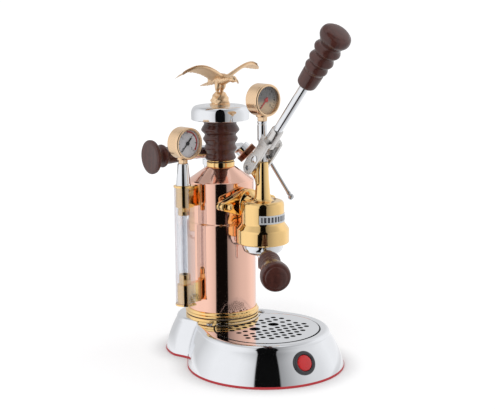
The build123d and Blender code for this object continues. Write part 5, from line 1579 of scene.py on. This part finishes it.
class ESPRESSO_OT_boiler_gauge(bpy.types.Operator):
    """Boiler gauge on its tapered stem"""

    bl_idname = "espresso.boiler_gauge"
    bl_label = "Boiler gauge"

    def execute(self, context):
        gauge("boiler_gauge", BOILER_GAUGE, 15.4, "rose_gold", ("pale dial", "pale_dial"),
              ("black needle", "black_needle"), (0, 1, 2, 3), 8.5)
        foot = SHIELD_TOP_Z + SHIELD_COVER
        stem = eased([(0, foot), (9.6, foot), (9.6, 231.5), (9.1, 232.6), (6.9, 257.4), (6.4, 258.6),
                      (0, 258.6)], 0.5)
        finished(Form().turned(stem, SIGHT_AXIS, 72).solid(), "gauge_cone", "boiler_gauge_stem",
                 "chrome", "chrome")
        return {"FINISHED"}


class ESPRESSO_OT_piston_gauge(bpy.types.Operator):
    """Gauge on the piston's rod"""

    bl_idname = "espresso.piston_gauge"
    bl_label = "Piston gauge"

    def execute(self, context):
        gauge("piston_gauge", PISTON_GAUGE, 12.5, "brass", ("dark dial", "dark_dial"),
              ("red needle", "red_needle"), (0, 4, 8, 12), 4.0)
        stem = eased([(0, ROD_TOP_Z), (5.8, ROD_TOP_Z), (6.3, 289.6), (6.3, 309.0), (5.7, 309.6),
                      (5.7, 310.6), (6.3, 311.2), (6.3, 313.4), (5.8, 313.9), (0, 313.9)], 0.4)
        finished(Form().turned(stem, GROUP, 64).solid(), "rod_head", "piston_gauge_stem", "chrome", "chrome")
        return {"FINISHED"}


# Group

def flange_plan(grow=0.0):
    """Oval plan of the flange between boiler and group."""
    half, end, reach = 18.5 + grow, 5.6 + grow, 39.6
    lean = math.degrees(math.acos((half - end) / reach))
    return (arc(half, lean, 180 - lean, 20) + arc(end, 180 - lean, 180 + lean, 20, (-reach, 0))
            + arc(half, 180 + lean, 360 - lean, 20) + arc(end, -lean, lean, 20, (reach, 0)))


def flange_plate(form, back, front, ease):
    """One plate of the flange, with holes for the studs."""
    holes = [arc(3.55, 360, 15, 23, (side * STUD_X, 0)) for side in (-1, 1)]
    return form.plate([flange_plan(), *holes], -back, -front, FORWARD, ease)


class ESPRESSO_OT_group(bpy.types.Operator):
    """Brass group: bell, slotted neck, fulcrum lug and flange"""

    bl_idname = "espresso.group"
    bl_label = "Group"

    def execute(self, context):
        rise = [(radius, BELL_Z + height) for radius, height in (
            (32.4, 0.0), (33.6, 1.2), (33.6, 18.0), (27.4, 26.5), (27.4, 49.0), (26.8, 51.4), (25.0, 53.5),
            (22.6, 54.1), (13.4, 54.1), (10.8, 56.7), (9.6, 62.0), (8.2, 80.5), (7.4, 103.3))]
        bell = Form().turned(eased([
            (26.6, BELL_Z), *rise, (5.05, 262.8), (5.05, 208.0), (24.2, 208.0), (24.2, 172.0),
            (29.6, 172.0), (29.6, 162.5), (26.6, 162.5)], 1.8), GROUP, 144)
        half, low, high = 3.3, 236.5, 300.0
        slot = [(-half, high), (-half, low), *arc(half, 180, 360, 12, (0, low)), (half, low), (half, high)]
        bell = cut(bell.solid(), Form().plate([slot], -20.0, 20.0, crosswise(GROUP_Y, 0), 0.05))
        rest = Form()
        flange_plate(rest, FLANGE_Y, FLANGE_FRONT_Y, 1.1)
        knee = eased([(0, 57.0), (17.0, 57.0), (16.6, 58.4), (13.6, 61.5), (10.4, 67.5), (8.2, 79.0),
                      (0, 79.0)], 1.5)
        rest.turned(knee, FORWARD, 64)
        web = eased([(-79.0, 226.0), (-74.0, 240.0), (-66.0, 246.5), (-61.0, 251.0), (-60.5, 256.0),
                     (-64.0, 261.5), (-70.0, 262.3), (-79.0, 258.0)], 2.5)
        rest.plate([web], -6.0, 6.0, ACROSS, 1.6)
        rest.turned(eased([(3.0, -8.5), (7.8, -8.5), (7.8, 8.5), (3.0, 8.5)], 0.8), crosswise(*FULCRUM), 64)
        finished(joined(bell, rest.solid()), "group_casting", "group_body", "group gold", "brass",
                 angle=38)
        return {"FINISHED"}


class ESPRESSO_OT_flange(bpy.types.Operator):
    """Boiler flange, its gasket and the studs with domed nuts"""

    bl_idname = "espresso.flange"
    bl_label = "Flange"

    def execute(self, context):
        form = flange_plate(Form(), PLATE_Y, PLATE_FRONT_Y, 1.0).disc(16.0, 30.0, 46.2, FORWARD, 0.4)
        thing = cut(form.solid(), Form().disc(SHOULDER_R + BOILER_GAP, 150.0, 260.0, steps=160))
        finished(thing, "boiler_flange", "boiler_plate", "group gold", "brass", angle=38)
        finished(flange_plate(Form(), PLATE_FRONT_Y, FLANGE_Y, 0.2).solid(), "flange_seal", "flange_gasket",
                 "black rubber", "black_rubber")
        nut = Form().hexagon(5.0, 0.0, 4.2)
        dome = domed(smooth([(4.2, 3.9), (4.1, 5.0), (3.8, 6.0), (3.4, 6.8)], 3), 1.4)
        nut.turned([(0, 3.9), *dome], steps=40)
        nut.disc(3.5, -12.2, 0.5, steps=32)
        places = [facing_front(side * STUD_X, FLANGE_FRONT_Y, FLANGE_Z) @ Matrix.Rotation(0.26, 4, "Z")
                  for side in (-1, 1)]
        finished(repeated(nut, places, "group gold"), "domed_nuts", "flange_studs", "group gold",
                 "brass", ease=edge_size())
        return {"FINISHED"}


class ESPRESSO_OT_temperature_strip(bpy.types.Operator):
    """Temperature strip round the bell"""

    bl_idname = "espresso.temperature_strip"
    bl_label = "Temperature strip"

    def execute(self, context):
        steps = 60
        section = [(27.4, 0.0), (27.7, 0.0), (27.8, 0.1), (27.8, 10.7), (27.7, 10.8), (27.4, 10.8)]
        turns = [math.radians(-90 - 50 + 100 * step / steps) for step in range(steps + 1)]
        points = [(radius * math.cos(turn), radius * math.sin(turn), FIELDS_Z + height)
                  for turn in turns for radius, height in section]
        size = len(section)
        faces = [(row * size + part, row * size + (part + 1) % size, (row + 1) * size + (part + 1) % size,
                  (row + 1) * size + part) for row in range(steps) for part in range(size)]
        faces += [tuple(range(size)), tuple(steps * size + part for part in range(size))]
        finished(Form().take(points, faces, GROUP).solid(), "field_strip", "temperature_strip",
                 "temperature fields", "strip_field")
        return {"FINISHED"}


class ESPRESSO_OT_piston(bpy.types.Operator):
    """Rod, pins and the pieces inside the bell"""

    bl_idname = "espresso.piston"
    bl_label = "Piston and pins"

    def execute(self, context):
        rod = Form().disc(5.0, 197.6, ROD_TOP_Z, GROUP, 0.3, 56).solid()
        hole = Form().disc(PIN_BORE, -8.0, 8.0, crosswise(*ROD_PIN), 0.05, 32)
        finished(cut(rod, hole), "rod_bar", "piston_rod", "rod steel", "steel")
        pins = (
            ("lever_pivot", "fulcrum_pin", FULCRUM, "dark steel", [
                (0, 11.6), (1.9, 11.6), (2.4, 12.6), (2.9, 12.2)]),
            ("fork_pin", "rod_pin", ROD_PIN, "chrome", [
                (0, 14.4), (2.2, 14.3), (3.6, 14.0), (4.5, 13.6), (4.5, 13.15), (2.9, 13.15)]))
        for name, node, place, finish, end in pins:
            pin = [(radius, -height) for radius, height in end] + end[::-1]
            form = Form().turned(eased(pin, 0.25), crosswise(*place), 40)
            finished(form.solid(), name, node, finish, "steel")
        for node, finish, slot in (
                ("cylinder_sleeve", "rod steel", "steel"), ("group_seal", "black rubber", "black_rubber"),
                ("shower_screen", "bright steel", "steel"), ("piston", "polished brass", "brass"),
                ("piston_seals", "black rubber", "black_rubber")):
            refined(node, finish, slot)
        return {"FINISHED"}


# Lever and portafilter

class ESPRESSO_OT_lever(bpy.types.Operator):
    """Lever: slotted fork, rod and turned wooden handle"""

    bl_idname = "espresso.lever"
    bl_label = "Lever"

    def execute(self, context):
        ear = eased([(-68.6, 246.2), (-62.4, 248.6), (-60.4, 254.0), (-61.6, 258.4), (-68.8, 268.0),
                     (-81.8, 277.1), (-90.3, 286.7), (-96.5, 297.6), (-107.8, 284.8), (-95.2, 269.2),
                     (-76.2, 247.8), (-72.4, 246.0)], 2.2)
        lift = math.radians(41.0)
        ahead = Vector((-math.cos(lift), math.sin(lift)))
        centre = Vector(FULCRUM) + ahead * 17.9
        across = Vector((-ahead.y, ahead.x))
        slot, radius, half = [], 4.2, 1.7
        for end in (1, -1):
            for x, y in arc(radius, 90, -90, 16):
                slot.append(tuple(centre + ahead * (end * (half + x)) + across * (end * y)))
        pin = arc(PIN_BORE, 360, 15, 23, FULCRUM)
        form = Form()
        half_width, thick = 13.0, 4.2
        for low in (half_width - thick, -half_width):
            form.plate([ear, slot, pin], low, low + thick, ACROSS, 0.6)
        bridge = [(-half_width, -7.0), (half_width, -7.0), (half_width, 7.0), (-half_width, 7.0)]
        form.prism(eased(bridge, 1.2), -24.0, -17.0, LEVER)
        form.turned(eased([(0, -27.0), (7.4, -27.0), (8.4, -26.0), (7.9, -3.0), (7.6, 0.6), (6.9, 1.5),
                           (0, 1.5)], 0.9), LEVER, 72)
        thing = cut(form.solid(), Form().disc(7.0, 262.0, 330.0, GROUP, 0.05, 64))
        finished(thing, "fork_casting", "lever_fork", "lever nickel", "chrome", angle=40)
        finished(Form().disc(5.8, -20.0, 101.0, LEVER, 0.4, 72).solid(), "lever_bar", "lever_rod",
                 "chrome", "chrome")
        handle = [(7.5, 0.0), (10.5, 0.022), (12.3, 0.07), (12.9, 0.25), (12.4, 0.285), (14.4, 0.35),
                  (12.4, 0.42), (12.8, 0.44), (15.6, 0.50), (12.9, 0.58), (13.2, 0.61), (16.8, 0.68),
                  (13.7, 0.76), (15.2, 0.81), (19.0, 0.89), (18.2, 0.965), (14.5, 1.0)]
        foot, bore, bore_end = 76.0, 5.85, 102.0
        side = domed(smooth(stretched(handle, 1.0, 85.0, foot)), 1.8)
        grip = Form().turned([(0, bore_end), (bore, bore_end), (bore, foot), *side], LEVER, 112)
        finished(grip.solid(), "lever_turning", "lever_handle", "lever wood", "wood")
        return {"FINISHED"}


class ESPRESSO_OT_portafilter(bpy.types.Operator):
    """Portafilter: cup with lugs, spout, basket and wooden handle"""

    bl_idname = "espresso.portafilter"
    bl_label = "Portafilter"

    def execute(self, context):
        bore, rim, floor = 3.2, 167.4, 149.2
        form = Form().turned(eased([
            (bore, CUP_Z), (20.0, CUP_Z), (24.5, 149.4), (26.2, 154.0), (26.2, rim), (24.7, rim),
            (24.7, floor), (bore, floor)], 1.4), GROUP, 112)
        neck = eased([(0, 22.0), (5.8, 22.0), (5.8, 34.0), (6.4, 36.0), (7.6, 48.6), (7.2, 49.8), (4.0, 50.0),
                      (4.0, 80.0), (0, 80.0)], 1.0)
        form.turned(neck, PORTAFILTER, 56)
        for side in (-1, 1):
            middle = -124.5 + side * 90
            lug = arc(29.2, middle - 18, middle + 18, 14) + arc(25.4, middle + 18, middle - 18, 14)
            form.prism(lug, 162.8, 165.8, GROUP)
        finished(form.solid(), "cup_casting", "portafilter_body", "chrome", "chrome", ease=0.3)
        spout = Form().turned(eased([
            (bore, 125.0), (5.4, 125.0), (6.4, 126.2), (6.4, 143.0), (bore, 143.0)], 0.8), GROUP, 48)
        spout.hexagon(8.5, 141.0, CUP_Z, GROUP)
        finished(spout.solid(), "spout_turning", "portafilter_spout", "chrome", "chrome",
                 ease=edge_size())
        refined("filter_basket", "bright steel", "steel")
        grip = [(8.4, 0.0), (10.2, 0.03), (10.4, 0.10), (9.2, 0.15), (13.4, 0.22), (13.6, 0.27), (11.8, 0.32),
                (13.4, 0.38), (11.9, 0.43), (13.6, 0.50), (12.6, 0.56), (15.0, 0.68), (17.6, 0.85),
                (18.0, 0.93), (16.6, 0.985), (13.0, 1.0)]
        foot, socket, socket_end = 50.0, 4.05, 81.0
        side = domed(smooth(stretched(grip, 1.0, 90.0, foot)), 2.2)
        grip = Form().turned([(0, socket_end), (socket, socket_end), (socket, foot), *side], PORTAFILTER, 112)
        finished(grip.solid(), "portafilter_turning", "portafilter_handle", "portafilter wood", "wood")
        return {"FINISHED"}


# Stage

# Camera fitted to the machine's rings and edges: degrees, then metres, then pixels of the photograph
CAMERA_TURN, CAMERA_RISE, CAMERA_ROLL = -40.03, 10.7, -0.41
CAMERA_REACH = 1.5754
AIM_BESIDE, AIM_Z = 0.03463, 0.1954
PHOTO_WIDTH, PHOTO_FOCAL = 495.0, 1199.32

# Width of the camera's sensor in millimetres, and half the floor's width in metres
SENSOR_WIDTH = 36.0
FLOOR_HALF = 30.0


class ESPRESSO_OT_stage(bpy.types.Operator):
    """White floor, soft studio light and the camera at the photographed angle"""

    bl_idname = "espresso.stage"
    bl_label = "Stage"

    def execute(self, context):
        mesh = bpy.data.meshes.new("studio_floor")
        corners = [(x * FLOOR_HALF, y * FLOOR_HALF, 0) for x, y in ((-1, -1), (1, -1), (1, 1), (-1, 1))]
        mesh.from_pydata(corners, [], [(0, 1, 2, 3)])
        mesh.materials.append(paint("white floor"))
        linked("studio_floor", mesh)
        self.lamp("key_panel", (-1.5, -1.1, 1.9), 1.5, 17.0)
        self.lamp("fill_panel", (1.7, -1.2, 1.3), 1.6, 6.0)
        self.sky(context)
        self.camera(context)
        context.scene.view_settings.view_transform = "Standard"
        return {"FINISHED"}

    def lamp(self, name, where, size, watts):
        """Large soft panel that looks at the machine and doesn't show in metal."""
        light = bpy.data.lights.new(name, "AREA")
        light.shape, light.size, light.energy = "SQUARE", size, watts
        lamp = linked(name, light)
        lamp.location = where
        lamp.rotation_euler = (Vector((0, -0.05, 0.15)) - Vector(where)).to_track_quat("-Z", "Y").to_euler()
        lamp.visible_glossy = False

    def sky(self, context):
        """World: even light, white where it is seen, and diffusers with a gap where metal mirrors it."""
        world = bpy.data.worlds.new("studio")
        world.use_nodes = True
        context.scene.world = world
        world.node_tree.nodes.clear()
        work = Nodes(world.node_tree)
        seen, glossy, through = work.rays()
        x, y, z = work.axes(work.add("ShaderNodeTexCoord", out=0))
        high = z.ramp(0.55, 0.8) * z.ramp(0.9, 0.985, 1.0, 0.0)
        mirror = work.mix(high * 0.3, diffusers(work, x, y), (0.0, 0.0, 0.0))
        white = work.maths("MAXIMUM", seen, through)
        shade = work.mix(glossy, (0.62, 0.62, 0.63), mirror)
        shade = work.mix(white, shade, (1.0, 1.0, 1.0))
        back = work.add("ShaderNodeBackground", None, {0: shade, 1: 1.0})
        sink = world.node_tree.nodes.new("ShaderNodeOutputWorld")
        world.node_tree.links.new(back.socket, sink.inputs[0])

    def camera(self, context):
        """Camera fitted to the rings and edges of the machine."""
        turn, rise, roll = [math.radians(angle) for angle in (CAMERA_TURN, CAMERA_RISE, CAMERA_ROLL)]
        back = Vector((math.sin(turn) * math.cos(rise), -math.cos(turn) * math.cos(rise), math.sin(rise)))
        side = Vector((math.cos(turn), math.sin(turn), 0))
        up = back.cross(side)
        right = side * math.cos(roll) + up * math.sin(roll)
        above = up * math.cos(roll) - side * math.sin(roll)
        aim = side * AIM_BESIDE + Vector((0, 0, AIM_Z))
        lens = bpy.data.cameras.new("photo_view")
        lens.sensor_width, lens.lens = SENSOR_WIDTH, SENSOR_WIDTH * PHOTO_FOCAL / PHOTO_WIDTH
        lens.clip_start, lens.clip_end = 0.05, 100.0
        place = Matrix((right, above, back)).transposed().to_4x4()
        place.translation = aim + back * CAMERA_REACH
        camera = linked("photo_view", lens)
        camera.matrix_world = place
        context.scene.camera = camera


PIECES = (
    ESPRESSO_OT_base, ESPRESSO_OT_deck_screws, ESPRESSO_OT_drip_tray, ESPRESSO_OT_switch,
    ESPRESSO_OT_boiler, ESPRESSO_OT_cap, ESPRESSO_OT_eagle, ESPRESSO_OT_steam_valve, ESPRESSO_OT_wand,
    ESPRESSO_OT_sight_glass, ESPRESSO_OT_boiler_gauge, ESPRESSO_OT_piston_gauge, ESPRESSO_OT_group,
    ESPRESSO_OT_flange, ESPRESSO_OT_temperature_strip, ESPRESSO_OT_piston, ESPRESSO_OT_lever,
    ESPRESSO_OT_portafilter, ESPRESSO_OT_stage)


class ESPRESSO_PT_panel(bpy.types.Panel):
    """Pieces and settings of the espresso machine"""

    bl_label = "Espresso machine"
    bl_idname = "ESPRESSO_PT_panel"
    bl_space_type = "VIEW_3D"
    bl_region_type = "UI"
    bl_category = "Espresso"

    def draw(self, context):
        for group in (context.scene.espresso_colours, context.scene.espresso_sizes):
            for key in group.bl_rna.properties.keys():
                if key not in ("rna_type", "name"):
                    self.layout.prop(group, key)
        for piece in PIECES:
            self.layout.operator(piece.bl_idname)


CLASSES = (EspressoColours, EspressoSizes, *PIECES, ESPRESSO_PT_panel)


def register():
    """Registers the settings, the operators and the panel."""
    for one in CLASSES:
        bpy.utils.register_class(one)
    bpy.types.Scene.espresso_colours = bpy.props.PointerProperty(type=EspressoColours)
    bpy.types.Scene.espresso_sizes = bpy.props.PointerProperty(type=EspressoSizes)


def unregister():
    """Takes the add-on's classes and settings away again."""
    del bpy.types.Scene.espresso_sizes
    del bpy.types.Scene.espresso_colours
    for one in reversed(CLASSES):
        bpy.utils.unregister_class(one)


def main():
    """Makes every piece and the stage."""
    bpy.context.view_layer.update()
    register()
    TREES["repeat"], TREES["sheet"] = repeat_tree(), sheet_tree()
    for piece in PIECES:
        group, name = piece.bl_idname.split(".")
        getattr(getattr(bpy.ops, group), name)()
    bpy.context.view_layer.update()


if __name__ == "__main__":
    main()
